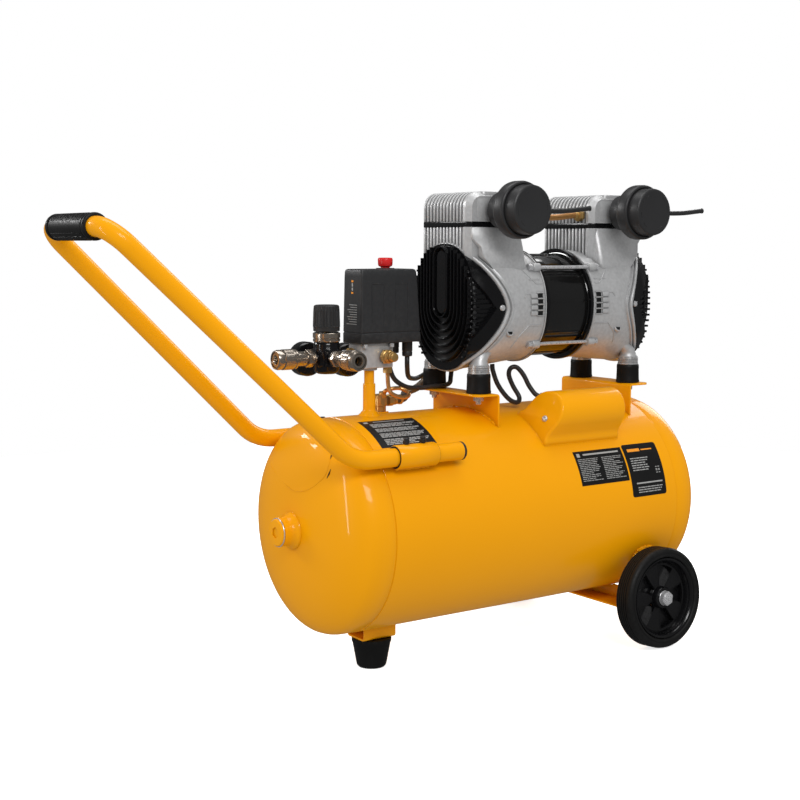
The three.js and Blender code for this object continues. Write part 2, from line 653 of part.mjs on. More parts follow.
function regulator() {
  const z = AIR_Z;
  const x = REG_X;
  const body = turned([[0, z - 22], [16, z - 22], [19, z - 18], [19, z + 20], [17.5, z + 22], [17.5, z + 35],
    [0, z + 35]], 20).translate(x, 0, 0);
  const inlet = alongX(rod(10, 15, -x + STAND_X - 48 - GAP, 14)).translate(x, 0, z);
  const outlets = [alongMinusX(rod(9, 15, 20, 14)), alongMinusY(rod(9, 15, 20, 14))];
  const gaugeArm = alongY(rod(6, 15, 37, 12)).translate(x - 3, 0, z - 5);
  const spindleHole = rod(4.2, z + 25, z + 40, 12).translate(x, 0, 0);
  const whole = join(body, inlet, ...outlets.map((g) => g.translate(x, 0, z)), gaugeArm);
  add('regulator_body', cut(whole, spindleHole), blackPlastic());
  const knob = turned([[0, z + 27], [4, z + 27], [4, z + 36], [18.6, z + 36], [18.6, z + 68], [16.5, z + 72],
    [0, z + 72]], 20);
  add('regulator_knob', knob.translate(x, 0, 0), greyPlastic());
}

function gauge(name, x, z) {
  const case_ = alongY(cutRecess()).translate(x, 0, z);
  add(`gauge_${name}`, case_, blackPlastic());
  const pointer = [[-1.2, -5], [1.2, -5], [0.5, 16], [-0.5, 16]];
  const needle = join(slab(pointer, 56.4, 57.2), alongY(rod(2.2, 55.3, 58, 10)));
  add(`gauge_needle_${name}`, needle.rotateY(GAUGE_REST).translate(x, 0, z), rubber());
}
const GAUGE_REST = 135 * Math.PI / 180;

function cutRecess() {
  const body = turned([[0, 37.3], [22, 37.3], [24, 40], [24, 60], [0, 60]], 18);
  return cut(body, rod(21.5, 55, 65, 18));
}

// Quick coupler built along +Z from its root at z = 0 to its mouth.
function coupler(place, name) {
  const body = ring([[3, 0], [8, 0], [8, 14], [10, 16], [10, 60], [6, 60], [6, 34], [3, 34]], 12);
  const nut = prism(hexagon(21), 3, 13);
  const bore = rod(3.2, -1, 20, 12);
  add(`coupler_body_${name}`, place(cut(join(body, nut), bore)), nickel());
  const sleeve = ring([[10 + GAP, 30], [13.5, 30], [14, 34], [14, 58], [12.5, 61], [10 + GAP, 61]], 12);
  add(`coupler_sleeve_${name}`, place(sleeve), nickel());
}

function checkValve() {
  const [x, y, z] = CHECK;
  const neck = rod(8, TANK_R - 2, z + 6, 12).translate(x, y, 0);
  const arm = alongX(rod(7, 0, 22, 12)).translate(x, y, z);
  const top = rod(10, z - 8, z + 10, 6).translate(x, y, 0);
  add('check_valve', cut(join(neck, top, arm), tankRoom()), brass());
}
const CHECK = [-168, 22, 166];

// ---- hose and leads, each held at both ends ----
function lines() {
  const hose = [V(-145.7, 22, 166), V(-134, 22, 166), V(-110, 44, 166), V(-80, 84, 167), V(-45, 98, 174),
    V(-18, 104, 196), V(-8, 108, 240), V(-8, 108, 310), V(-12, 104, 385), V(-18, 90, 424), V(-19, 72, 432),
    V(-19, 54.7, 432)];
  add('delivery_hose', tubeAlong(hose, 6, 8, 20), greyPlastic());
  const switchLead = [V(-161, 8, 223.6), V(-161, 8, 212), V(-152, 8, 196), V(-130, 10, 184.5),
    V(-100, 18, 181), V(-72, 28, 180.5), V(-50, 31.5, 180.5), V(-34, 36, 183), V(-27, 42, 192), V(-24, 44, 206),
    V(-24, 44, 218.5)];
  add('switch_lead', tubeAlong(switchLead, 3.5, 6, 16), rubber());
  const motorLead = [V(-137, 0, 229.6), V(-137, 0, 218), V(-126, 14, 203), V(-105, 40, 195), V(-82, 66, 190),
    V(-58, 84, 188), V(-38, 84, 197), V(-32, 68, 214), V(-32, 62, 226)];
  add('motor_lead', tubeAlong(motorLead, 3.5, 6, 14), rubber());
  const capacitorLead = [V(2, -20, 213.5), V(3, -21, 203), V(10, -25, 182), V(24, -32, 162), V(38, -35, 156),
    V(46, -30, 163), V(40, -22, 180), V(34, -20, 196), V(36, -22, 206), V(44, -26, 207), V(52, -32, 196),
    V(58, -38, 180), V(64, -45, 168), V(70, -50, 164)];
  add('capacitor_lead', tubeAlong(capacitorLead, 3.5, 6, 24), rubber());
}

receiver();
tankPlug();
drainValve();
footChannel();
foot();
axleBracket();
wheel(-1, 'right');
wheel(1, 'left');
handle();
sleeves();
saddle(1, 'saddle_front');
saddle(-1, 'saddle_rear');
pump();
capacitorCover();
pressureSwitch();
manifoldBlock();
safetyValve();
regulator();
gauge('outlet', REG_X - 3, AIR_Z - 5);
gauge('tank', -208, 225);
coupler((g) => alongMinusX(g).translate(REG_X - 20 - GAP, 0, AIR_Z), 'front');
coupler((g) => alongMinusY(g).translate(REG_X, -20 - GAP, AIR_Z), 'side');
checkValve();
lines();

export default root;
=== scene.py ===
import json
import math

import bmesh
import bpy
from mathutils import Matrix, Vector


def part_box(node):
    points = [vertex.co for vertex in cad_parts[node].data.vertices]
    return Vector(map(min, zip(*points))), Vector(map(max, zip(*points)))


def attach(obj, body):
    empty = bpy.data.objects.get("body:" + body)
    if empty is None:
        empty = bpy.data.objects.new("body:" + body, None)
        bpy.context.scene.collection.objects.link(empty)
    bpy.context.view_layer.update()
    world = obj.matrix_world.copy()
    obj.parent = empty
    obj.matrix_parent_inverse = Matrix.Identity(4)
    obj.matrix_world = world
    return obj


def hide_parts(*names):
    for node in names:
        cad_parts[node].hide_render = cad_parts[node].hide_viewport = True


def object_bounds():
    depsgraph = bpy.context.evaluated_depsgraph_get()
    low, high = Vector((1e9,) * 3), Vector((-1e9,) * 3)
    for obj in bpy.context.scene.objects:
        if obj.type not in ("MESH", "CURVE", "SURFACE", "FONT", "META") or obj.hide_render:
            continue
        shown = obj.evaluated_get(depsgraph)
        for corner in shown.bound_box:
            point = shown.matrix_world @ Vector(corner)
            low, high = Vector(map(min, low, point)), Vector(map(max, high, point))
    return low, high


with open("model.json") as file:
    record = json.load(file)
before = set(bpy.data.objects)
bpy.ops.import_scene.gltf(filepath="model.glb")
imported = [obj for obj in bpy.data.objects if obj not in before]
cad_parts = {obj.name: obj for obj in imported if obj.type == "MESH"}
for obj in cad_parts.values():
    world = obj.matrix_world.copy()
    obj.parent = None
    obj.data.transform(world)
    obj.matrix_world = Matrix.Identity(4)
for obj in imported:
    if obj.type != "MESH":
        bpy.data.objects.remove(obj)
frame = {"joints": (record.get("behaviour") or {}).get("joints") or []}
cad_lo, cad_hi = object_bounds()

# ---------------------------------------------------------------- places, from the frame
# Everything is worked out in millimetres from the receiver's centre: +X to the wheels, right is -Y.
TANK_LENGTH = 659.1
tank_lo, tank_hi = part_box("tank_shell")
TANK_R = (tank_hi.y - tank_lo.y) * 500
ORIGIN = Vector((tank_hi.x - TANK_LENGTH / 2000, 0, tank_lo.z + TANK_R / 1000))


def middle(node):
    """Centre of a CAD node's box, in millimetres from the receiver's centre."""
    lo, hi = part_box(node)
    return ((lo + hi) / 2 - ORIGIN) * 1000


def corners(node):
    lo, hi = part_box(node)
    return (lo - ORIGIN) * 1000, (hi - ORIGIN) * 1000


def joint(name):
    j = next(j for j in frame["joints"] if j["name"] == name)
    return (Vector(j["pos_m"]) - ORIGIN) * 1000, Vector(j["axis"])


FLOOR = (cad_lo.z - ORIGIN.z) * 1000
PUMP = middle("stator")
HEAD_X = (middle("cylinder_head_rear").x - middle("cylinder_head_front").x) / 2
MOUNT_X = (middle("mount_rear_right").x - middle("mount_front_right").x) / 2
MOUNT_Y = middle("mount_rear_left").y
SADDLE_TOP = corners("saddle_front")[1].z
REG = middle("regulator_knob")
AIR_Z = middle("coupler_body_front").z
KNOB = middle("switch_knob")
STAND_X = -202.0


# ---------------------------------------------------------------- materials
def material(name, color, rough, metal=0.0, *, mottle=0.04, mottle_scale=6.0, rough_mottle=0.08,
             bump=0.0, bump_scale=400.0, coat=0.0, coat_rough=0.08, ior=1.5, wear=None, hollow_shade=0.0):
    """Procedural finish: mottled colour, uneven roughness, fine bump, worn edges and painted shade in the
    hollows.
    """
    m = bpy.data.materials.new(name)
    m.use_nodes = True
    nt = m.node_tree
    n, link = nt.nodes, nt.links.new
    bsdf = n["Principled BSDF"]
    bsdf.inputs["Metallic"].default_value = metal
    bsdf.inputs["IOR"].default_value = ior
    bsdf.inputs["Coat Weight"].default_value = coat
    bsdf.inputs["Coat Roughness"].default_value = coat_rough
    coords = n.new("ShaderNodeTexCoord").outputs["Object"]

    def noise(scale, detail=3.0):
        t = n.new("ShaderNodeTexNoise")
        t.inputs["Scale"].default_value = scale
        t.inputs["Detail"].default_value = detail
        link(coords, t.inputs["Vector"])
        return t.outputs["Fac"]

    def spread(value, low, high, to_low, to_high):
        r = n.new("ShaderNodeMapRange")
        link(value, r.inputs["Value"])
        for key, v in (("From Min", low), ("From Max", high), ("To Min", to_low), ("To Max", to_high)):
            r.inputs[key].default_value = v
        return r.outputs["Result"]

    def mix(factor, a, b):
        x = n.new("ShaderNodeMix")
        x.data_type = "RGBA"
        link(factor, x.inputs["Factor"])
        for socket, v in ((x.inputs["A"], a), (x.inputs["B"], b)):
            if hasattr(v, "links"):
                link(v, socket)
            else:
                socket.default_value = (*v, 1)
        return x.outputs["Result"]

    clouds = noise(mottle_scale)
    dark = [c * (1 - mottle) for c in color]
    light = [min(1, c * (1 + mottle)) for c in color]
    shade = mix(spread(clouds, 0.3, 0.7, 0, 1), dark, light)
    # Painted shade: ambient occlusion darkens the colour in hollows, creases and gaps.
    if hollow_shade:
        ao = n.new("ShaderNodeAmbientOcclusion")
        ao.inputs["Distance"].default_value = 0.012
        ao.samples = 4
        hollow = spread(ao.outputs["AO"], 0.35, 0.95, hollow_shade, 0)
        shade = mix(hollow, shade, [c * 0.25 for c in color])
    if wear:
        wear_color, amount = wear
        edge = n.new("ShaderNodeNewGeometry").outputs["Pointiness"]
        worn = n.new("ShaderNodeMath")
        worn.operation = "MULTIPLY"
        link(spread(edge, 0.515, 0.56, 0, amount), worn.inputs[0])
        link(spread(noise(180), 0.45, 0.6, 0.15, 1), worn.inputs[1])
        shade = mix(worn.outputs[0], shade, wear_color)
    link(shade, bsdf.inputs["Base Color"])
    patches = noise(mottle_scale * 7, 5)
    link(spread(patches, 0.3, 0.7, max(0.02, rough - rough_mottle), min(1, rough + rough_mottle)),
         bsdf.inputs["Roughness"])
    if bump:
        b = n.new("ShaderNodeBump")
        b.inputs["Strength"].default_value = 0.6
        b.inputs["Distance"].default_value = bump / 1000
        link(noise(bump_scale, 4), b.inputs["Height"])
        link(b.outputs["Normal"], bsdf.inputs["Normal"])
        if coat:
            link(b.outputs["Normal"], bsdf.inputs["Coat Normal"])
    return m


# Where a finish below darkens in its hollows, that darkening is painted shade laid on by material().
YELLOW = material("yellow_paint", (0.86, 0.35, 0.0), 0.36, mottle=0.02, mottle_scale=3, rough_mottle=0.03,
                  bump=0.006, bump_scale=160, coat=0.3, coat_rough=0.04, ior=1.2, hollow_shade=0.25)
CAST = material("cast_aluminium", (0.60, 0.602, 0.605), 0.44, 0.5, mottle=0.08, mottle_scale=220,
                rough_mottle=0.1,
                bump=0.12, bump_scale=1400, hollow_shade=0.6)
MACHINED = material("machined_aluminium", (0.72, 0.72, 0.72), 0.28, 0.7, mottle=0.04, bump=0.004,
                    bump_scale=900,
                    hollow_shade=0.5)
GLOSS_BLACK = material("gloss_black_plastic", (0.004, 0.004, 0.0045), 0.17, mottle=0.2, mottle_scale=20,
                       rough_mottle=0.03, bump=0.004, bump_scale=300, ior=1.5)
SATIN_BLACK = material("satin_black_plastic", (0.022, 0.022, 0.023), 0.42, mottle=0.08, mottle_scale=9,
                       rough_mottle=0.04,
                       bump=0.02, bump_scale=1400)
GREY_PLASTIC = material("switch_plastic", (0.022, 0.0225, 0.024), 0.44, mottle=0.05, mottle_scale=9,
                        rough_mottle=0.04,
                        bump=0.03, bump_scale=1600, ior=1.45, wear=((0.06, 0.06, 0.06), 0.25))
STATOR_BLACK = material("stator_paint", (0.005, 0.005, 0.005), 0.14, mottle=0.2, mottle_scale=15, coat=0.6,
                        bump=0.10, bump_scale=120)
RUBBER = material("moulded_rubber", (0.007, 0.007, 0.007), 0.46, mottle=0.15, mottle_scale=30, bump=0.02,
                  bump_scale=700, ior=1.3, wear=((0.03, 0.03, 0.03), 0.2))
TYRE = material("tyre_rubber", (0.008, 0.008, 0.008), 0.5, mottle=0.2, mottle_scale=25, bump=0.02,
                bump_scale=500, ior=1.33, wear=((0.04, 0.038, 0.035), 0.2))
HUB = material("hub_plastic", (0.005, 0.005, 0.0055), 0.2, mottle=0.15, mottle_scale=20, rough_mottle=0.03,
               bump=0.003, bump_scale=300)
ZINC = material("zinc_steel", (0.72, 0.72, 0.73), 0.3, 0.62, mottle=0.06, mottle_scale=90, bump=0.004,
                bump_scale=900, hollow_shade=0.5)
NICKEL = material("nickel_plate", (0.52, 0.455, 0.385), 0.25, 0.95, mottle=0.03, mottle_scale=40,
                  rough_mottle=0.02,
                  bump=0.0006, bump_scale=300, hollow_shade=0.3)
BRASS = material("brass", (0.72, 0.45, 0.16), 0.32, 0.85, mottle=0.05, mottle_scale=40, rough_mottle=0.03,
                 bump=0.0008, bump_scale=300, hollow_shade=0.3)
COPPER = material("copper", (0.80, 0.40, 0.14), 0.3, 0.85, mottle=0.05, mottle_scale=40, rough_mottle=0.03,
                  bump=0.0006, bump_scale=300, hollow_shade=0.25)
RED = material("red_plastic", (0.62, 0.012, 0.012), 0.28, mottle=0.05, mottle_scale=30, bump=0.02,
               bump_scale=900, hollow_shade=0.4)
LABEL = material("label_black", (0.009, 0.009, 0.009), 0.45, mottle=0.1, mottle_scale=20, bump=0.005,
                 ior=1.36)
PRINT = material("label_print", (0.36, 0.36, 0.35), 0.5, mottle=0.08, mottle_scale=200, bump=0.004)
ORANGE_PRINT = material("orange_print", (0.85, 0.30, 0.01), 0.45, mottle=0.08, mottle_scale=200, bump=0.004,
                        bump_scale=900)
DIAL = material("dial_white", (0.78, 0.78, 0.76), 0.5, mottle=0.03, mottle_scale=60, bump=0.004,
                bump_scale=900)
BRAID = material("steel_braid", (0.17, 0.13, 0.095), 0.4, 0.7, mottle=0.2, mottle_scale=300, bump=0.15,
                 bump_scale=2200, hollow_shade=0.5)
# Painted shade: near-black finish laid over slits, gaps, vents and holes to stand for the shade inside them.
SHADE_BLACK = material("painted_shade_black", (0.004, 0.004, 0.004), 0.7, mottle=0.3, mottle_scale=30, bump=0.05,
                bump_scale=400)


def glass_material():
    m = material("gauge_glass", (0.9, 0.92, 0.92), 0.04, mottle=0.01, rough_mottle=0.02)
    m.node_tree.nodes["Principled BSDF"].inputs["Transmission Weight"].default_value = 1.0
    m.node_tree.nodes["Principled BSDF"].inputs["IOR"].default_value = 1.1
    return m


GLASS = glass_material()


# ---------------------------------------------------------------- shapes: (points, faces) in millimetres
def loft(rings, cap=True):
    """Skin through rings of equally many points; cap closes the first and last ring."""
    n = len(rings[0])
    points = [Vector(p) for ring in rings for p in ring]
    faces = []
    for k in range(len(rings) - 1):
        for i in range(n):
            j = (i + 1) % n
            faces.append((k * n + i, k * n + j, (k + 1) * n + j, (k + 1) * n + i))
    if cap:
        faces.append(tuple(range(n)))
        last = (len(rings) - 1) * n
        faces.append(tuple(range(last, last + n)))
    return points, faces


def turned(outline, sides=48):
    """Turned about +Z: an outline of (radius, z) from axis to axis, or a closed ring that stays off it."""
    closed = outline[0][0] > 1e-6
    rings = [[(r * math.cos(t), r * math.sin(t), z) for t in angles(sides)] for r, z in outline]
    if closed:
        rings.append(rings[0])
    return loft(rings, cap=not closed)


def angles(n, start=0.0, end=2 * math.pi, last=False):
    """Evenly spaced values from start to end, with the end itself only when last is true."""
    return [start + (end - start) * i / (n - 1 if last else n) for i in range(n)]


def prism(outline, z0, z1):
    return loft([[(x, y, z) for x, y in outline] for z in (z0, z1)])


def block(x0, x1, y0, y1, z0, z1):
    return prism([(x0, y0), (x1, y0), (x1, y1), (x0, y1)], z0, z1)


def polygon(n, across, turn=0.0):
    r = across / 2 / math.cos(math.pi / n)
    return [(r * math.cos(t + turn), r * math.sin(t + turn)) for t in angles(n)]


def arc(cx, cy, r, a0, a1, n=8):
    return [(cx + r * math.cos(math.radians(t)), cy + r * math.sin(math.radians(t)))
            for t in angles(n, a0, a1, last=True)]


def rounded(x0, x1, y0, y1, r, n=6):
    """Rectangle with round corners."""
    return (arc(x1 - r, y1 - r, r, 0, 90, n) + arc(x0 + r, y1 - r, r, 90, 180, n)
            + arc(x0 + r, y0 + r, r, 180, 270, n) + arc(x1 - r, y0 + r, r, 270, 360, n))


def spline(points, steps):
    """Points along a smooth curve through the given ones."""
    pts = [Vector(p) for p in points]
    pts = [pts[0] * 2 - pts[1], *pts, pts[-1] * 2 - pts[-2]]
    out = []
    for i in range(1, len(pts) - 2):
        p0, p1, p2, p3 = pts[i - 1:i + 3]
        for k in range(steps):
            t = k / steps
            a = p1 * 2 + (p2 - p0) * t
            b = (p0 * 2 - p1 * 5 + p2 * 4 - p3) * t * t
            c = (p1 * 3 - p0 - p2 * 3 + p3) * t ** 3
            out.append((a + b + c) / 2)
    out.append(pts[-2])
    return out


def tube(path, radius, sides=16):
    """Round section along a path of points, without twist. radius may be a function of 0..1."""
    path = [Vector(p) for p in path]
    tangent = (path[1] - path[0]).normalized()
    side = tangent.orthogonal().normalized()
    if abs(tangent.z) < 0.9:
        side = Vector((0, 0, 1)).cross(tangent).normalized()
    rings = []
    for k, p in enumerate(path):
        a, b = path[max(k - 1, 0)], path[min(k + 1, len(path) - 1)]
        tangent = (b - a).normalized()
        side = (side - tangent * side.dot(tangent)).normalized()
        up = tangent.cross(side)
        r = radius(k / (len(path) - 1)) if callable(radius) else radius
        rings.append([p + side * (math.cos(t) * r) + up * (math.sin(t) * r) for t in angles(sides)])
    return loft(rings)


def join(*shapes):
    points, faces = [], []
    for p, f in shapes:
        base = len(points)
        points += p
        faces += [tuple(i + base for i in face) for face in f]
    return points, faces


def moved(shape, x=0.0, y=0.0, z=0.0, matrix=None):
    points, faces = shape
    m = Matrix.Translation((x, y, z)) @ (matrix or Matrix.Identity(4))
    return [m @ Vector(p) for p in points], faces


def turn(axis, degrees):
    return Matrix.Rotation(math.radians(degrees), 4, axis)


ALONG_X = turn("Y", 90)
ALONG_MINUS_X = turn("Y", -90)
ALONG_Y = turn("X", -90)
ALONG_MINUS_Y = turn("X", 90)


def mirror(shape, end):
    """End shapes are built for the wheel end (+X); end -1 puts them at the handle end."""
    points, faces = shape
    return [Vector((p.x * end, p.y, p.z)) + PUMP for p in points], faces


# ---------------------------------------------------------------- pieces
def mesh_of(name, shape):
    bm = bmesh.new()
    points, faces = shape
    verts = [bm.verts.new(ORIGIN + Vector(p) / 1000) for p in points]
    for face in faces:
        if len(set(face)) > 2:
            try:
                bm.faces.new([verts[i] for i in face])
            except ValueError:
                pass
    bmesh.ops.remove_doubles(bm, verts=bm.verts, dist=2e-6)
    bmesh.ops.dissolve_degenerate(bm, edges=bm.edges, dist=1e-6)
    loose = [v for v in bm.verts if not v.link_faces]
    bmesh.ops.delete(bm, geom=loose, context="VERTS")
    bmesh.ops.recalc_face_normals(bm, faces=bm.faces)
    mesh = bpy.data.meshes.new(name)
    bm.to_mesh(mesh)
    bm.free()
    return mesh


def settle(o):
    """Applies the modifiers."""
    dg = bpy.context.evaluated_depsgraph_get()
    mesh = bpy.data.meshes.new_from_object(o.evaluated_get(dg))
    o.modifiers.clear()
    o.data = mesh


def piece(name, shape, finish, body="chassis", stands_for=None, bevel=0.0, cuts=(), crease=32):
    """One visible piece, cut and bevelled, riding on a body and standing for at most one CAD node."""
    o = bpy.data.objects.new(name, mesh_of(name, shape))
    bpy.context.scene.collection.objects.link(o)
    for cutter in cuts:
        tool = bpy.data.objects.new("cutter", mesh_of("cutter", cutter))
        bpy.context.scene.collection.objects.link(tool)
        m = o.modifiers.new("cut", "BOOLEAN")
        m.operation, m.solver, m.object = "DIFFERENCE", "EXACT", tool
        settle(o)
        bpy.data.objects.remove(tool)
    if bevel:
        m = o.modifiers.new("bevel", "BEVEL")
        m.width, m.segments, m.limit_method = bevel / 1000, 2, "ANGLE"
        m.angle_limit = math.radians(35)
        settle(o)
    o.data.materials.clear()
    o.data.materials.append(finish)
    o.data.shade_smooth()
    o.data.set_sharp_from_angle(angle=math.radians(crease))
    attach(o, body)
    if stands_for:
        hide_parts(stands_for)


# ---------------------------------------------------------------- receiver
SEAM = 258.0
DOME_START, DOME_DEPTH, DOME_POWER = 273.75, 55.8, 2.49


def tank_radius(x):
    """Radius of the receiver at a distance along its axis."""
    x = abs(x)
    if x <= DOME_START:
        return TANK_R
    return TANK_R * max(0.0, 1 - ((x - DOME_START) / DOME_DEPTH) ** DOME_POWER) ** (1 / DOME_POWER)


def on_tank(x, degrees, lift=0.0):
    """Point on the receiver; the angle is from straight up towards the right side."""
    r, a = tank_radius(x) + lift, math.radians(degrees)
    return Vector((x, -r * math.sin(a), r * math.cos(a)))


def receiver():
    outline = []
    for i in range(25):
        a = math.pi / 2 * i / 24
        x = DOME_START + DOME_DEPTH * math.cos(a) ** (2 / DOME_POWER)
        outline.append((TANK_R * math.sin(a) ** (2 / DOME_POWER) - 0.4 * (i > 20), x))
    outline[0] = (0.0, outline[0][1])
    outline += [(TANK_R - 0.4, SEAM + 2.4), (TANK_R - 1.1, SEAM + 1.2), (TANK_R - 1.1, SEAM + 0.6),
                (TANK_R, SEAM)]
    outline += [(r, -x) for r, x in reversed(outline)]
    piece("receiver_shell", moved(turned(outline, 144), matrix=ALONG_X), YELLOW, stands_for="tank_shell")
    tip = -TANK_LENGTH / 2
    boss = [(0, tip - 21), (18, tip - 21), (19.4, tip - 20), (19.8, tip - 12), (20.6, tip - 7),
            (23.6, tip - 3.5),
            (25.6, tip - 1.5), (25.8, tip + 1), (25.0, tip + 4), (28, tip + 4.6), (29, tip + 6), (0, tip + 8)]
    flip = Matrix(((0, 0, 1, 0), (0, 1, 0, 0), (-1, 0, 0, 0), (0, 0, 0, 1)))
    piece("plug_boss", moved(turned(boss, 64), matrix=flip), YELLOW, crease=50)
    washer = [(9, tip - 22.6), (19.6, tip - 22.6), (19.9, tip - 21.9), (19.6, tip - 21.2), (9, tip - 21.2)]
    piece("plug_washer", moved(turned(washer, 64), matrix=flip), ZINC)
    face = tip - 25.5
    plug = [(0, face), (11, face), (13.5, face + 0.3), (17.2, face + 0.6), (18.6, face + 2),
            (18.8, face + 2.9),
            (0, face + 2.9)]
    socket = moved(prism(polygon(6, 14), face - 4, face + 2.2), matrix=flip)
    piece("plug", moved(turned(plug, 64), matrix=flip), YELLOW, stands_for="tank_plug", cuts=[socket])
    inside = moved(turned([(0, face + 1.9), (8.0, face + 1.9), (8.0, face + 2.4), (0, face + 2.4)], 24),
                   matrix=flip)
    piece("plug_floor", inside, YELLOW)
    pipe = [(0, 140), (17, 147), (15.5, 150), (14, 151.6), (12.4, 152.6), (11.6, 154.4), (9.4, 156),
            (8.8, 159),
            (8.6, 193), (8.2, 194.4), (7.2, 195), (7, 196), (7, 212.6), (0, 212.6)]
    piece("standpipe", moved(turned(pipe, 40), STAND_X), YELLOW, crease=50)
    stamp_mark()


def stamp_mark():
    """Faint pressed outline on the front head, open at the top, with a short slit beside it."""
    route = [(-311, -44), (-321, -40), (-327, -15), (-327.6, 7), (-326, 30), (-322, 38), (-317, 38.5),
             (-311, 34)]
    line = [on_tank(x, a, 0.0) for x, a in route]
    piece("stamp_outline", tube(spline(line, 6), 0.45, 8), YELLOW)
    # Each slit is a thin dark line on the skin: painted shade standing for the slit's shaded inside.
    for k, (x, a) in enumerate(((-315.5, 40.5), (-308, 32))):
        slit = [on_tank(x + dx, a + da, 0.0) for dx, da in ((-2.2, 1.2), (0, 0), (2.2, -1.6))]
        piece(f"stamp_slit_{k}", tube(slit, lambda t: 0.3 + 0.8 * math.sin(math.pi * t), 8), SHADE_BLACK)


def patch(x0, x1, a0, a1, lift, thick, corner=0.0):
    """Thin sheet lying on the receiver between two stations and two angles."""
    degrees = math.degrees(corner / TANK_R)
    across = max(2, int(abs(a1 - a0) * 1.2))
    steps = [corner * (1 - math.cos(t)) for t in angles(7, 0, math.pi / 2, True)] if corner else [0]
    xs = sorted({x0 + d for d in steps} | {x1 - d for d in steps})
    rings = []
    for x in xs:
        inset = 0.0
        reach = min(x - x0, x1 - x)
        if corner and reach < corner:
            inset = degrees * (1 - math.sqrt(max(0.0, 1 - (1 - reach / corner) ** 2)))
        row = [a0 + inset + (a1 - a0 - 2 * inset) * i / across for i in range(across + 1)]
        rings.append([on_tank(x, a, lift + thick) for a in row] + [on_tank(x, a,
                                                                           lift) for a in reversed(row)])
    return loft(rings)


def rows_of_print(name, x0, x1, a0, a1, count, seed, fill=0.62):
    """Rows of plain dashes standing for small print, without any lettering."""
    shapes = []
    pitch = (a1 - a0) / count
    for k in range(count):
        x, a = x0, a0 + pitch * k
        short = 0.45 * ((seed * 7 + k * 13) % 10) / 10 if k % 3 == 2 else 0.04 * ((k * 5) % 4)
        stop = x1 - (x1 - x0) * short
        step = 0
        while x < stop - 1.5:
            dash = 3.2 + ((seed + k * 5 + step * 3) % 7) * 1.1
            shapes.append(patch(x, min(x + dash, stop), a, a + pitch * fill, 0.22, 0.06))
            x += dash + 1.1
            step += 1
    piece(name, join(*shapes), PRINT)


def labels():
    piece("label_top", patch(-244, -153, 13, 38.5, 0.05, 0.15), LABEL)
    piece("label_top_title", join(patch(-222, -170, 14.6, 15.3, 0.22, 0.06),
                                  patch(-238, -231, 14.3, 16.2, 0.22, 0.06)), PRINT)
    for k, (first, last) in enumerate(((17.4, 21.6), (22.8, 26.2), (27.4, 31.2), (32.4, 37.0))):
        rows_of_print(f"label_top_rows_{k}", -232, -158, first, last, 4, k + 3)
    piece("label_long", patch(71, 165, 53.6, 73.6, 0.05, 0.15), LABEL)
    piece("label_long_title", join(patch(88, 158, 55.4, 56.4, 0.22, 0.06),
                                   patch(76, 82, 55, 57.2, 0.22, 0.06)), PRINT)
    rows_of_print("label_long_left", 75, 114, 58.4, 71.8, 13, 5, fill=0.34)
    rows_of_print("label_long_right", 121, 160, 58.4, 71.8, 13, 9, fill=0.34)
    piece("label_data", patch(168, 237, 52.6, 83.6, 0.05, 0.15, corner=4), LABEL)
    piece("label_data_bar", join(patch(176, 201, 55.6, 57.4, 0.22, 0.06),
                                 patch(204, 226, 56.2, 57.0, 0.22, 0.06)),
          ORANGE_PRINT)
    rows_of_print("label_data_rows", 176, 212, 61.2, 69.6, 6, 4, fill=0.4)
    rows_of_print("label_data_foot", 180, 230, 78.2, 82.2, 3, 8, fill=0.4)
    piece("label_data_line", patch(178, 231, 75.6, 76.4, 0.22, 0.06), PRINT)
    squares = [patch(220 + 1.7 * i, 221.3 + 1.7 * i, 67.4 + 0.66 * j, 67.9 + 0.66 * j, 0.22, 0.06)
               for i in range(6) for j in range(6) if (i * 5 + j * 3 + i * j) % 3]
    piece("label_data_squares", join(*squares), PRINT)


def weld(name, path, radius, seed):
    """A lumpy bead of weld under the paint."""
    path = spline(path, 10)
    n = len(path)

    def lumpy(t):
        return radius * (0.8 + 0.22 * math.sin(t * n * 1.1 + seed) + 0.12 * math.sin(t * n * 2.7 + seed * 3))

    piece(name, tube(path, lumpy, 12), YELLOW, crease=60)


def inside_tank(x0=-270.0, x1=270.0, gap=0.1):
    """The room taken by the receiver, which other pieces are cut back from."""
    return moved(turned([(0, x0), (TANK_R + gap, x0), (TANK_R + gap, x1), (0, x1)], 160), matrix=ALONG_X)


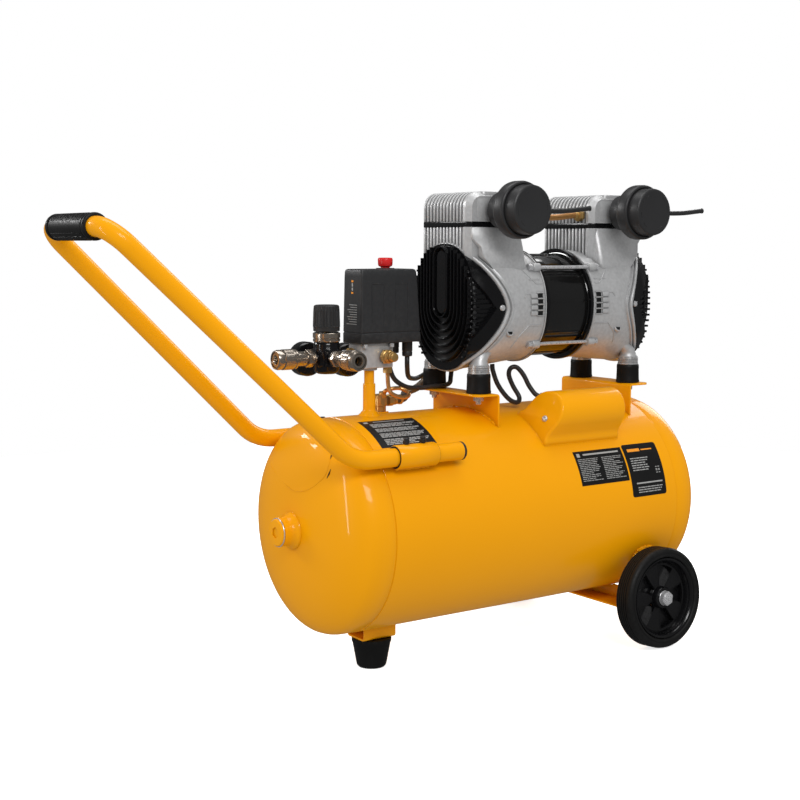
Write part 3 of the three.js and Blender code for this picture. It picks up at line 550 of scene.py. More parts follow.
# ---------------------------------------------------------------- foot, axle bracket and wheels
def chassis():
    foot_lo, foot_hi = corners("foot")
    x = (foot_lo.x + foot_hi.x) / 2
    r, top, low = (foot_hi.x - foot_lo.x) / 2, foot_hi.z, FLOOR
    outline = [(0, low), (16, low), (19.0, low + 0.6), (20.8, low + 2.6), (21.6, low + 5), (27.2, top - 8),
               (28.0, top - 6.4), (r, top - 5), (r, top - 0.8), (r - 0.8, top), (0, top)]
    piece("rubber_foot", moved(turned(outline, 64), x), RUBBER, stands_for="foot")
    w, half_length, t, bend = 22, 27, 3, 5
    high = top + 0.3 + bend
    outer = arc(-w + bend, high, bend, 180, 270) + arc(w - bend, high, bend, 270, 360)
    inner = arc(w - bend, high, bend - t, 360, 270) + arc(-w + bend, high, bend - t, 270, 180)
    section = [(-w, -130), *outer, (w, -130), (w - t, -130), *inner, (-w + t, -130)]
    channel = loft([[(x + dx, y, z) for y, z in section] for dx in (-half_length, half_length)])
    piece("front_channel", channel, YELLOW, stands_for="foot_channel", cuts=[inside_tank()], bevel=0.7)
    bolt = join(moved(prism(polygon(6, 13), top + 3.6, top + 9.6), x),
                moved(turned([(0, top + 3.4), (9, top + 3.4), (9, top + 4.4), (0, top + 4.4)], 32), x),
                moved(turned([(0, top + 9), (4, top + 9), (4, top + 15), (0, top + 15.5)], 24), x))
    piece("foot_screw", bolt, ZINC, crease=40)
    reach = math.degrees(math.asin(w / TANK_R)) + 0.6
    for side in (-1, 1):
        spots = [on_tank(x + dx, 180 + side * reach, 0.4) for dx in (-24, -10, 8, 24)]
        weld(f"channel_weld_{side + 1}", spots, 1.8, seed=side + 2)
    bracket()
    for suffix in ("right", "left"):
        wheel(suffix)


def bracket():
    lo, hi = corners("axle_bracket")
    x0, x1, low = lo.x, hi.x, lo.z
    inner, t = 142.6, 3
    camber = math.radians(4)
    flange = block(x0, x1, -inner - 1, inner + 1, low, low + t)
    web = block(x1 - t, x1, -inner - 1, inner + 1, low, low + 22)
    piece("axle_channel", flange, YELLOW, stands_for="axle_bracket", bevel=1.0)
    piece("axle_web", web, YELLOW, bevel=1.0, cuts=[inside_tank()])
    for side in (-1, 1):
        outline = [(x0, 0), (x1, 0), (x1 - 2, 60), (x1 - 4, 92), (x1 - 10, 98), (x0 + 9, 98), (x0 + 5, 92),
                   (x0 + 2, 60)]
        plate = loft([[(x, y, z) for x, z in outline] for y in ((0, t) if side > 0 else (-t, 0))])
        plate = moved(plate, 0, side * inner, low, turn("X", math.degrees(side * camber)))
        name = f"wheel_tab_{'right' if side < 0 else 'left'}"
        piece(name, plate, YELLOW, bevel=0.8, cuts=[inside_tank()])
        top = [Vector((x0 + 4, side * 134.6, -69)), Vector((x0 + 14, side * 135.6, -65)),
               Vector((x1 - 14, side * 135.9, -64.6)), Vector((x1 - 4, side * 134.8, -67))]
        weld(f"tab_weld_{name}", top, 3.0, seed=side + 5)
        back = [Vector((x0 + 3, side * 135, -70)), Vector((x0 + 1.5, side * 131.5, -77)),
                Vector((x0 + 1, side * 125, -87))]
        weld(f"tab_weld_edge_{name}", back, 2.2, seed=side + 9)


def wheel(suffix):
    """Tyre, hub and bolt, turned about the axle, whose own X stays along the machine's X."""
    centre, axis = joint(f"wheel_{suffix}_spin")
    body = f"wheel_{suffix}"
    x_axis, z_axis = Vector((1, 0, 0)), axis.normalized()
    spin = Matrix((x_axis, z_axis.cross(x_axis), z_axis)).transposed().to_4x4()

    def put(shape):
        return moved(shape, *centre, spin)

    w, r, rim = 15, 74.95, 61
    tread = [(r - 0.3, -13.4)]
    for g in (-11, -7, -3, 1, 5):
        tread += [(r, g - 1.4), (r, g - 0.9), (r - 2.3, g - 0.4), (r - 2.3, g + 0.4), (r, g + 0.9),
                  (r, g + 1.4)]
    tread += [(r, 8.6), (r - 0.7, 11.2), (r - 2.6, 13.4), (r - 5, 14.7), (r - 7, w - 0.05),
              (r - 8.2, w - 0.6),
              (r - 8.8, w - 0.7), (r - 9.6, w - 0.1), (r - 11.6, w - 0.2), (rim + 0.6, w - 1.2), (rim, w - 3)]
    tyre = [(rim, -w + 3), (rim + 1, -w), (r - 8, -w - 2.4), (r - 3.4, -w - 1.6), (r - 1.2, -w + 0.2)] + tread
    piece(f"tyre_{suffix}_rubber", put(turned(tyre, 128)), TYRE, body, stands_for=f"tyre_{suffix}", crease=45)
    edge = rim - 0.3
    hub = [(6.2, -w + 1), (14, -w + 1), (15, -8), (15.5, -4), (48, -4), (52, -8), (edge, -w + 2.5),
           (edge, w - 3.4),
           (edge - 1.2, w - 1.6), (edge - 3, w - 1.4), (edge - 4.6, w - 2.6), (edge - 6, w - 5),
           (54.4, w - 6.4),
           (53.4, w - 5.8), (52.6, w - 7.4), (50.8, 3.4), (50.4, 1.2), (47.5, 0.6), (18, 0.6), (16.6, 1.6),
           (16, 9),
           (15, 10.2), (6.2, 10.2)]
    windows = []
    for i in range(5):
        a0, a1 = math.radians(72 * i - 18.5), math.radians(72 * i + 18.5)
        outline = ([(17 * math.cos(t), 17 * math.sin(t)) for t in angles(5, a0 - 0.05, a1 + 0.05, True)]
                   + [(48 * math.cos(t), 48 * math.sin(t)) for t in angles(9, a1, a0, True)])
        windows.append(prism(outline, -6, 6))
    piece(f"hub_{suffix}_disc", put(turned(hub, 96)), HUB, body, stands_for=f"hub_{suffix}", crease=38,
          cuts=[put(join(*windows))])
    back = [(16, -9.6), (52, -9.6), (52, -7.6), (16, -7.6)]
    piece(f"hub_{suffix}_back", put(turned(back, 64)), HUB, body)
    ribs = []
    for i in range(5):
        for s in (-1, 1):
            a = math.radians(72 * i + 36 + s * 17)
            u, v = Vector((math.cos(a), math.sin(a), 0)), Vector((-math.sin(a), math.cos(a), 0))
            ring = [u * 16 - v * 0.8, u * 50 - v * 0.8, u * 50 + v * 0.8, u * 16 + v * 0.8]
            ribs.append(loft([[p + Vector((0, 0, z)) for p in ring] for z in (-9, 0.9)]))
    piece(f"hub_{suffix}_ribs", put(join(*ribs)), HUB, body)
    head = join(prism(polygon(6, 19, 0.35), w - 3, w + 3.4),
                turned([(0, w + 3.2), (7.6, w + 3.2), (8.6, w + 3.4), (8.0, w + 4.2), (6.4, w + 4.55),
                        (0, w + 4.6)], 40))
    piece(f"axle_bolt_{suffix}_head", put(head), ZINC, stands_for=f"axle_bolt_{suffix}", bevel=0.5)
    shank = turned([(0, -37), (5.2, -37), (6, -36), (6, w - 3), (0, w - 3)], 32)
    nut = join(prism(polygon(6, 19), -34.6, -26), turned([(6, -26), (11, -26), (11, -24.4), (6, -24.4)], 32))
    piece(f"axle_bolt_{suffix}_shank", put(shank), ZINC)
    piece(f"axle_bolt_{suffix}_nut", put(nut), ZINC, bevel=0.4)
    washer = [(6.1, w - 4.7), (10.6, w - 4.7), (11, w - 4.2), (11, w - 3.4), (10.6, w - 3), (6.1, w - 3)]
    piece(f"axle_washer_{suffix}", put(turned(washer, 40)), ZINC)


# ---------------------------------------------------------------- handle
def bent(points, radii, steps=14):
    """Path of straights with round bends of the given radii at the inner points."""
    points = [Vector(p) for p in points]
    out = [points[0]]
    for a, b, c, r in zip(points, points[1:], points[2:], radii):
        u, v = (a - b).normalized(), (c - b).normalized()
        half = u.angle(v) / 2
        centre = b + (u + v).normalized() * (r / math.sin(half))
        first = b + u * (r / math.tan(half)) - centre
        last = b + v * (r / math.tan(half)) - centre
        sweep = first.angle(last)
        for k in range(steps + 1):
            t = k / steps
            spoke = first * math.sin((1 - t) * sweep) + last * math.sin(t * sweep)
            out.append(centre + spoke / math.sin(sweep))
    out.append(points[-1])
    return out


def handle():
    sleeve = middle("handle_sleeve_right")
    grip_at = middle("grip")
    end = corners("handle_tube")[1].x
    rail_y, rail_z, knee, bar_y = abs(sleeve.y), sleeve.z, -312, 96
    start = end - 4.3
    half = [(start, -rail_y, rail_z), (knee, -rail_y, rail_z), (grip_at.x, -bar_y, grip_at.z),
            (grip_at.x, 0, grip_at.z)]
    left = bent(half, (70, 36))
    path = left + [Vector((p.x, -p.y, p.z)) for p in reversed(left[:-1])]
    piece("handle_tube_bent", tube(path, 12.5, 32), YELLOW, "handle", stands_for="handle_tube", crease=60)
    for side in (-1, 1):
        cap = [(0, end - 6), (12.3, end - 6), (12.3, end - 4.4), (12.6, end - 4), (12.7, end - 1.4),
               (11.8, end - 0.15), (0, end)]
        piece(f"tube_cap_{side + 1}", moved(turned(cap, 40), 0, side * rail_y, rail_z, ALONG_X),
              SATIN_BLACK, "handle")
    grip(grip_at)
    for side, suffix in ((-1, "right"), (1, "left")):
        lo, hi = corners(f"handle_sleeve_{suffix}")
        y, z, r = side * rail_y, rail_z, 16
        barrel = [(12.8, lo.x), (r - 1, lo.x), (r, lo.x + 1), (r, hi.x - 1), (r - 1, hi.x), (12.8, hi.x)]
        piece(f"sleeve_{suffix}", moved(turned(barrel, 56), 0, y, z, ALONG_X), YELLOW,
              stands_for=f"handle_sleeve_{suffix}", crease=50)
        # Dark rings at the sleeve ends: painted shade standing for the shaded gap between sleeve and tube.
        gap = [[(12.9, x), (15.1, x), (15.1, x + 0.5), (12.9, x + 0.5)] for x in (lo.x - 0.1, hi.x - 0.4)]
        piece(f"sleeve_{suffix}_gap", moved(join(*[turned(g, 48) for g in gap]), 0, y, z, ALONG_X), SHADE_BLACK)
        foot_angle = math.degrees(math.atan2(-y, z))
        for k, da in enumerate((-3.4, 3.4)):
            weld(f"sleeve_weld_{suffix}_{k}", [on_tank(x, foot_angle + da, 1.2) for x in
                                               (lo.x + 5, lo.x + 20, hi.x - 20, hi.x - 5)], 2.6,
                                               seed=k + side)
        for place in ("front", "rear"):
            node = f"lock_screw_{suffix}_{place}"
            a, b = corners(node)
            cx, cy, top = (a.x + b.x) / 2, (a.y + b.y) / 2, b.z
            base = z + r
            outline = [(0, base - 3), (2.8, base - 3), (2.8, base + 0.9), (4.1, base + 1.1),
                       (4.3, base + 1.6),
                       (4.3, top - 4), (3.5, top - 3.4), (3.5, top - 2.6), (4.1, top - 2.2), (4.1, top - 0.7),
                       (3.6, top), (0, top)]
            flutes = [moved(block(3.9, 4.55, -0.45, 0.45, base + 1.6, top - 4.2), 0, 0, 0, turn("Z", 30 * k))
                      for k in range(12)]
            piece(f"{node}_knob", moved(join(turned(outline, 32), *flutes), cx, cy), SATIN_BLACK, node,
                  stands_for=node, crease=40)


def grip(at):
    lo, hi = corners("grip")
    h = (hi.y - lo.y) / 2
    outline = [(12.8, -h), (15.6, -h), (16.5, -h + 0.8), (16.75, -h + 2), (16.75, -h + 5), (16.3, -h + 6.4),
               (15.3, -h + 7.2),
               (15.2, -h + 9.4), (15.9, -h + 10.2), (16.1, -h + 12)]
    outline = outline + [(r, -y) for r, y in reversed(outline)]

    def ridge(y0, y1, degrees, width):
        return moved(block(-width / 2, width / 2, y0, y1, 15.4, 16.7), 0, 0, 0, turn("Y", degrees))

    ribs = [ridge(-h + 17, h - 17, a, 1.2) for a in (-58, -2)]
    for end in (-1, 1):
        ribs += [ridge(end * (h - 17) - 0.7, end * (h - 17) + 0.7, a, 1.9) for a in range(-57, 0, 6)]
    for k in range(6):
        y = -24 + 9.6 * k
        ribs += [ridge(y - 2.6, y + 2.6, a, 1.7) for a in (-44, -39, -34, -26, -21, -16)]
    groove = [ridge(-h + 14, h - 14, t, 1.4) for t in range(40, 260, 20)]
    body = moved(turned(outline, 64), matrix=ALONG_Y)
    piece("grip_rubber", moved(body, *at), RUBBER, "handle", stands_for="grip", crease=45)
    piece("grip_ribs", moved(join(*ribs), *at), RUBBER, "handle", bevel=0.35)
    piece("grip_lines", moved(join(*groove), *at), RUBBER, "handle", bevel=0.35)


# ---------------------------------------------------------------- pump supports
def saddles():
    for facing, suffix in ((1, "front"), (-1, "rear")):
        lo, hi = corners(f"saddle_{suffix}")
        top, t, half = SADDLE_TOP, 3, hi.y
        x_out, x_bend = (lo.x, hi.x) if facing > 0 else (hi.x, lo.x)
        step = 1 if x_bend > x_out else -1
        bend = 5
        corner_x, corner_z = x_bend - step * bend, top - bend
        outer = [(corner_x + step * bend * math.sin(t0), corner_z + bend * math.cos(t0))
                 for t0 in angles(7, 0, math.pi / 2, True)]
        inner = [(corner_x + step * (bend - t) * math.sin(t0), corner_z + (bend - t) * math.cos(t0))
                 for t0 in angles(7, math.pi / 2, 0, True)]
        section = [(x_out, top), *outer, (x_bend, 120), (x_bend - step * t, 120), *inner, (x_out, top - t)]
        plate = loft([[(x, y, z) for x, z in section] for y in (-half, half)])
        trim = []
        r = 9
        for side in (-1, 1):  # round plate corners
            fillet = [(x_out - step, side * (half + 1)), (x_out + step * r, side * (half + 1))]
            fillet += [(x_out + step * r - step * r * math.sin(a), side * (half - r) + side * r * math.cos(a))
                       for a in angles(8, 0, math.pi / 2, True)]
            fillet += [(x_out - step, side * (half - r))]
            trim.append(prism(fillet, top - 12, top + 5))
        piece(f"saddle_{suffix}_plate", plate, YELLOW, stands_for=f"saddle_{suffix}",
              cuts=[inside_tank(), *trim], bevel=0.6)
        x_weld = x_bend - step * t
        reach = math.degrees(math.asin(half / TANK_R)) - 2
        for side in (-1, 1):
            spots = [on_tank(x_weld - step * 0.6, side * a, 0.6) for a in (reach, reach - 6, reach - 13,
                                                                           reach - 20)]
            weld(f"saddle_weld_{suffix}_{side + 1}", spots, 2.0, seed=side + facing)
    for end, suffix in ((-1, "front"), (1, "rear")):
        for side, hand in ((-1, "right"), (1, "left")):
            rubber_mount(PUMP.x + end * MOUNT_X, side * MOUNT_Y, f"mount_{suffix}_{hand}")


def rubber_mount(x, y, node):
    low, high = SADDLE_TOP, SADDLE_TOP + 28.7
    body = [(0, low), (17.2, low), (17.9, low + 0.7), (18, low + 2.5), (17.4, low + 5), (16.9, low + 20),
            (17.1, low + 24), (16.8, low + 27.2), (16.0, high - 0.4), (0, high - 0.4)]
    piece(f"{node}_rubber", moved(turned(body, 56), x, y), RUBBER, stands_for=node)
    boss = [(0, high - 0.3), (15.6, high - 0.3), (15.8, high + 0.2)]
    for k in range(4):
        z = high + 1.0 + 2.5 * k
        boss += [(15.6, z), (15.6, z + 1.3), (14.6, z + 1.6), (14.6, z + 2.2)]
    boss += [(14.6, high + 12), (0, high + 12)]
    piece(f"{node}_boss", moved(turned(boss, 48), x, y), MACHINED, crease=40)
    under = SADDLE_TOP - 3.1
    washer = turned([(0, under - 1.4), (9, under - 1.4), (9, under), (0, under)], 36)
    nut = moved(prism(polygon(6, 13), under - 8, under - 1.4), 0, 0, 0, turn("Z", 15))
    stud = turned([(0, under - 13), (3.2, under - 13), (4, under - 12), (4, under - 8), (0, under - 8)], 24)
    piece(f"{node}_nut", moved(join(washer, nut, stud), x, y), ZINC, crease=35)


# ---------------------------------------------------------------- pump
# Half section of the round motor body: distance from the pump's middle, half width, half height.
BODY = [(45.8, 80.4, 80.4), (70, 81, 81), (100, 84, 84), (125, 83, 87), (150, 78, 89), (174, 70, 89.5),
        (179, 65, 85)]
BODY_POWER = 2.25
COVER_TIP, COVER_FACE = 123.0, 169.0
BODIES = {-1: "front", 1: "rear"}
ROD_PLACES = [(-65, 57), (-65, -54), (65, 57), (65, -54)]


def body_size(x):
    for (x0, w0, h0), (x1, w1, h1) in zip(BODY, BODY[1:]):
        if x <= x1:
            t = max(0.0, (x - x0) / (x1 - x0))
            t = t * t * (3 - 2 * t) * 0.35 + t * 0.65
            return w0 + (w1 - w0) * t, h0 + (h1 - h0) * t
    return BODY[-1][1:]


def body_point(x, t, lift=0.0):
    w, h = body_size(x)
    c, s = math.cos(t), math.sin(t)
    y = math.copysign(abs(c) ** (2 / BODY_POWER), c) * (w + lift)
    z = math.copysign(abs(s) ** (2 / BODY_POWER), s) * (h + lift)
    return Vector((x, y, z))


def chevron(z, tip, power=1.55, spread=42.0):
    """Edge of the fan cover seen from the side: a point at mid height, running back above and below."""
    return min(168.0, tip + spread * (abs(z) / 70.5) ** power)


def edge_at(t, tip=COVER_TIP):
    return chevron(body_point(115, t).z, tip)


def bell_shell():
    sides, rings = 200, []
    trim = [(0, 1.2), (0.6, 3.0), (1.6, 4.0), (4.4, 4.0), (5.6, 3.2), (6.4, 0.9), (7.2, -0.4), (8.8, -0.4),
            (9.4, 0.9),
            (10.2, 2.2), (12.2, 2.2), (13.0, 1.0), (13.8, 0.0), (16.2, 0.0), (17.4, 0.9), (18.4, 0.9)]
    depths = [d for d, _ in trim]

    def lift(d):
        for (d0, h0), (d1, h1) in zip(trim, trim[1:]):
            if d <= d1:
                return h0 + (h1 - h0) * (d - d0) / (d1 - d0)
        return trim[-1][1]

    for t in angles(sides):
        edge = edge_at(t)
        outer = [body_point(edge - d, t, lift(d)) for d in depths]
        start = 45.8
        far = edge - depths[-1]
        for k in range(1, 14):
            x = far + (start + 3 - far) * k / 13
            outer.append(body_point(x, t, 0.9))
        outer += [body_point(48.2, t, 0.6), body_point(47.8, t, 2.2), body_point(46.4, t, 2.4),
                  body_point(start, t, 1.8)]
        inner = [body_point(x, t, -5) for x in (start, 60, 90)] + [body_point(edge - 1, t, -5)]
        rings.append(outer + inner)
    rings.append(rings[0])
    return loft(rings, cap=False)


def cover_shell():
    """Glossy wings round a sunk field of louvres, ending at the cover's face."""
    end = COVER_FACE + 1
    rings, stops = [], []
    for t in angles(120):
        near_side = abs(math.sin(t)) < 0.62
        stops += [t + 2 * math.pi / 120 * k / 4 for k in range(4)] if near_side else [t]
    for t in stops:
        edge = edge_at(t)
        z = body_point(150, t).z
        inner_edge = min(end - 0.4, COVER_TIP + 15 + 0.75 * abs(z))
        outer = []
        for k in range(12):
            x = edge + 0.3 + (inner_edge - edge - 0.3) * k / 11
            outer.append(body_point(x, t, 1.5 * min(1.0, (x - edge) / 2.0)))
        rim = min(end - 0.2, inner_edge + 0.9)
        sunk = -5.4 + 2.8 * (((z + 70) / 7.0) % 1.0) if inner_edge < end - 0.5 else 1.5
        for k in range(9):
            outer.append(body_point(rim + (end - rim) * k / 8, t, sunk))
        inner = [body_point(x, t, -9) for x in (end, (edge + end) / 2, edge + 1)]
        rings.append(outer + inner)
    rings.append(rings[0])
    return loft(rings, cap=False)


FACE_W, FACE_TOP, FACE_LOW = 70.0, 91.0, -88.0


def face_outline(shrink=0.0, n=96):
    out = []
    for t in angles(n):
        c, s = math.cos(t), math.sin(t)
        h = (FACE_TOP if s > 0 else -FACE_LOW) - shrink
        out.append((math.copysign(abs(c) ** 0.86, c) * (FACE_W - shrink),
                    math.copysign(abs(s) ** 0.86, s) * h))
    return out


def face_top_at(y, shrink=0.0):
    c = min(1.0, abs(y) / (FACE_W - shrink)) ** (1 / 0.86)
    return math.sqrt(max(0.0, 1 - c * c)) ** 0.86 * (FACE_TOP - shrink)


def rib(path, x0, x1, width, closed=False):
    """Rounded rib along a path of (y, z) on a face that looks along +X."""
    pts = [Vector((0, y, z)) for y, z in path]
    rings = []
    n = len(pts)
    for k, p in enumerate(pts):
        a = pts[(k - 1) % n] if closed or k else pts[k]
        b = pts[(k + 1) % n] if closed or k < n - 1 else pts[k]
        along = (b - a).normalized()
        side = along.cross(Vector((1, 0, 0)))
        ring = []
        for u, v in ((-1, 0), (-0.9, 0.72), (-0.5, 0.96), (0.5, 0.96), (0.9, 0.72), (1, 0)):
            ring.append(p + side * (u * width / 2) + Vector((x0 + (x1 - x0) * v, 0, 0)))
        rings.append(ring)
    if closed:
        rings.append(rings[0])
    return loft(rings, cap=not closed)


def cover_face():
    """Face plate with nested U ribs open at the top, a closed slot in the middle and a toothed rim."""
    plate = loft([[(x, y, z) for y, z in face_outline(s)]
                  for x, s in ((COVER_FACE - 10, 2.5), (COVER_FACE - 2.2, 1), (COVER_FACE - 0.6, 1.8),
                               (COVER_FACE, 3.4))])
    ribs = []
    for k in range(1, 7):
        a, b = 17 + 7.7 * k, 14 + 10.6 * k
        top = max(8.0, face_top_at(a, 1.5))
        path = [(-a, top), (-a, top * 0.66), (-a, top * 0.33)]
        path += [(-a * math.cos(t), -b * math.sin(t)) for t in angles(25, 0, math.pi, True)]
        path += [(a, top * 0.33), (a, top * 0.66), (a, top)]
        ribs.append(rib(path, COVER_FACE - 0.4, COVER_FACE + 9.4 - 0.25 * k, 2.9))
    slot = arc(0, 2, 16.2, 180, 360, 14) + arc(0, 70.5, 16.2, 0, 180, 14)
    ribs.append(rib(slot, COVER_FACE - 0.4, COVER_FACE + 9.6, 3.2, closed=True))
    boss = loft([[(x, y, z) for y, z in arc(0, 2, r, 180, 360, 14) + arc(0, 70.5, r, 0, 180, 14)]
                 for x, r in ((COVER_FACE - 1, 11.6), (COVER_FACE + 5.2, 11.6), (COVER_FACE + 6.4, 10.4))])
    ribs.append(boss)
    teeth = []
    for k in range(-8, 7):
        z = 8.6 * k
        for side in (-1, 1):
            h = FACE_TOP if z > 0 else -FACE_LOW
            y = side * FACE_W * (1 - (abs(z) / h) ** 2.3) ** 0.43
            tooth = [(COVER_FACE - 9, y - side * 6), (COVER_FACE - 9, y + side * 1.5),
                     (COVER_FACE + 5.5, y + side * 1.0),
                     (COVER_FACE + 6.5, y - side * 1.5), (COVER_FACE + 6.5, y - side * 6)]
            ring = [[(px, py, z + dz) for px, py in tooth] for dz in (-1.5, 1.5)]
            teeth.append(loft(ring))
    return plate, join(*ribs), join(*teeth)


def fins(profile):
    """The row of cooling fins of one cylinder."""
    half = FIN_THICKNESS / 2
    return join(*[loft([[(px + HEAD_X, y, pz) for px, pz in profile] for y in (middle_y - half,
                                                                               middle_y + half)])
                  for middle_y in FIN_Y])


def head_profile(inset, z0, z1, r, x=51.5):
    """Outline of a cylinder head seen from the side, with round upper edges."""
    top = arc(x - r, z1 - r, r - inset, 0, 90, 9) + arc(-x + r, z1 - r, r - inset, 90, 180, 9)
    return [(x - inset, z0), *top, (-x + inset, z0)]


FIN_Y = [51.2 - 7.8 * k for k in range(12)]
FIN_THICKNESS = 3.7


def cylinder_head(end, suffix):
    z0, z1, w, r = 122.2, 164.4, 54.0, 22.0
    core = loft([[(px, y, pz) for px, pz in head_profile(8.5, z0, z1, r)] for y in (-w + 1, w - 0.6)])
    full = head_profile(0, z0, z1, r)
    pillar = loft([[(px, y, pz) for px, pz in head_profile(i, z0, z1, r)]
                   for y, i in ((-w, 6.5), (-w + 7.5, 0.0), (-w + 13.4, 0.0))])
    piece(f"head_{suffix}_body", mirror(moved(join(core, pillar), HEAD_X), end), CAST,
          stands_for=f"cylinder_head_{suffix}", crease=40)
    piece(f"head_{suffix}_fins", mirror(fins(full), end), CAST, bevel=0.9, crease=50)
    ring = [(-51.2, -w + 6), (-44.5, -w + 0.3), (44.5, -w + 0.3), (51.2, -w + 6), (51.2, w - 0.3),
            (-51.2, w - 0.3)]
    band = prism([(x + HEAD_X, y) for x, y in ring], 114.4, 122.4)
    piece(f"gasket_{suffix}", mirror(band, end), GLOSS_BLACK, bevel=0.8)
    pad = prism([(x + HEAD_X, y) for x, y in rounded(-26, 26, -52.6, -14, 6)], 150, 164.7)
    piece(f"head_{suffix}_pad", mirror(pad, end), CAST, bevel=1.4)
    panel = loft([[(x + HEAD_X, y, z) for x, z in rounded(-36, 36, 125.5, 155, 4)] for y in (-w - 0.3,
                                                                                             -w + 2)])
    piece(f"head_{suffix}_panel", mirror(panel, end), CAST, bevel=0.6)


def barrel(end, suffix):
    """Cylinder block under the gasket: finned ends, a smooth bulging side and a rounded foot."""
    z1, w = 114.5, 54.0

    def outline(inset):
        top = [(51.5 - inset, z1), (51.5 - inset, 76)]
        low = arc(51.5 - 24, 76, 24 - inset, 360, 270, 8)
        return top + low + [(-x, z) for x, z in reversed(top + low)]

    core = loft([[(px + HEAD_X, y, pz) for px, pz in outline(8.5)] for y in (-w + 1, w - 0.6)])
    pillar = loft([[(px + HEAD_X, y, pz) for px, pz in outline(i)] for y, i in ((-w, 6.5), (-w + 7.5, 0),
                                                                                (-w + 13.4, 0))])
    piece(f"barrel_{suffix}_body", mirror(join(core, pillar), end), CAST, crease=40)
    piece(f"barrel_{suffix}_fins", mirror(fins(outline(0)), end), CAST, bevel=0.9, crease=50)
    rings = []
    for z, half, out in ((44, 26, 7), (45, 33, 10), (47.5, 38.5, 12), (51.5, 42.8, 13.2), (57, 45.4, 13.6),
                         (63, 46, 13.2),
                         (74, 46, 11.4), (86, 46, 8.4), (98, 46, 4.6), (108, 46, 1.6), (114, 46, 0.6)):
        far = HEAD_X + half if z > 88 else min(HEAD_X + half, chevron(min(z, 80), COVER_TIP) - 17)
        row = [(HEAD_X - x, -w - out + y, z) for x, y in arc(half - 9, 9, 9, 360, 270, 6)]
        rings.append([*row, (far - 1, -w - out, z), (far, -w - out + 1, z), (far, -w + 14, z),
                      (HEAD_X - half, -w + 14, z)])
    piece(f"barrel_{suffix}_side", mirror(loft(rings), end), CAST, crease=50)


def bell_details(end, suffix):
    """Vents and holes painted as dark shade, and the lugs, ribs and lines of one end bell."""
    lines = [[(52, 34), (62, 34), (80, 52), (93, 72), (104, 72)],
             [(52, -26), (78, -26), (94, -42), (100, -58)],
             [(53, 40), (74, 40)], [(88, 14), (84, 20), (60, 20)]]
    for k, route in enumerate(lines):
        strokes = []
        for side in (-1, 1):
            pts = []
            for (xa, za), (xb, zb) in zip(route, route[1:]):
                for s in range(6):
                    x, z = xa + (xb - xa) * s / 6, za + (zb - za) * s / 6
                    pts.append(on_body(x, z, side, 1.0))
            pts.append(on_body(*route[-1], side, 1.0))
            strokes.append(tube(pts, 0.75, 8))
        piece(f"bell_{suffix}_line_{k}", mirror(join(*strokes), end), CAST)
    # Vents are thin dark plates on the bell's skin: painted shade for their shaded openings.
    vent_shades, pads = [], []
    for side in (-1, 1):
        for z in (17, 8.6, 0.2, -8.2):
            vent_shades.append(plate_on_body((52.5, 61.5), (z - 2.9, z + 2.9), side, 0.95, 0.5))
            pads.append(plate_on_body((64, 76), (z - 3.1, z + 3.1), side, 0.2, 2.6))
            pads.append(plate_on_body((50, 64), (z + 3.5, z + 4.9), side, 0.4, 2.6))
        pads.append(plate_on_body((50, 64), (-12.5, -11.4), side, 0.4, 2.6))
    piece(f"bell_{suffix}_vents", mirror(join(*vent_shades), end), SHADE_BLACK)
    piece(f"bell_{suffix}_pads", mirror(join(*pads), end), CAST, bevel=0.7)
    # Each hole is a dark disc inside a raised rim: painted shade for the hole's shaded inside.
    hole_shades, rims = [], []
    for side in (-1, 1):
        centre = on_body(112.5 if end < 0 else 98, -34, side, 0.9)
        facing = turn("X", side * 24) @ (ALONG_MINUS_Y if side < 0 else ALONG_Y)
        hole_shades.append(moved(turned([(0, -4), (4.4, -4), (4.4, 0.5), (0, 0.5)], 28), *centre, facing))
        rims.append(moved(turned([(4.3, -3), (6.2, -3), (6.2, 0.2), (5.4, 1.1), (4.3, 1.1)], 28), *centre,
                          facing))
    piece(f"bell_{suffix}_hole", mirror(join(*hole_shades), end), SHADE_BLACK)
    piece(f"bell_{suffix}_hole_rim", mirror(join(*rims), end), CAST)
    lugs = []
    for y, z in ROD_PLACES:
        a = math.atan2(z, y)
        lugs.append(moved(turned([(0, 47.5), (6.6, 47.5), (6.6, 59.5), (5.6, 61), (0, 61)], 32), 0, y, z,
                          ALONG_X))
        inward = Vector((0, y, z)) * 0.88
        side = Vector((0, -math.sin(a), math.cos(a)))
        web = [(inward + side * s * 8.4, Vector((0, y, z)) + side * s * 5.4) for s in (-1, 1)]
        ring = [web[0][0], web[0][1], web[1][1], web[1][0]]
        lugs.append(loft([[p + Vector((x, 0, 0)) for p in ring] for x in (47.5, 59.5)]))
    piece(f"bell_{suffix}_lugs", mirror(join(*lugs), end), CAST, bevel=0.9)
    for side in (-1, 1):
        x, y = MOUNT_X, side * MOUNT_Y
        low = SADDLE_TOP + 28.7 + 12 - PUMP.z
        leg = [[(x + r * math.cos(t) * kx - dx, y + r * math.sin(t) + dy, z) for t in angles(28)]
               for z, r, kx, dx, dy in ((low - 0.4, 14.4, 1, 0, 0), (low + 3, 12.4, 1, 0, 0),
                                        (low + 7, 11.6, 1, 1, 0),
                                        (low + 12, 12.2, 1.05, 4, -side), (low + 18, 13.5, 1.2, 9, -side * 4),
                                        (low + 26, 15, 1.3, 14, -side * 9))]
        piece(f"bell_{suffix}_leg_{side + 1}", mirror(loft(leg), end), CAST, crease=50)


def on_body(x, z, side, lift):
    """Point on the motor body's side at a height."""
    w, h = body_size(x)
    share = min(0.999, abs(z) / (h + lift))
    y = (1 - share ** BODY_POWER) ** (1 / BODY_POWER) * (w + lift)
    return Vector((x, side * y, z))


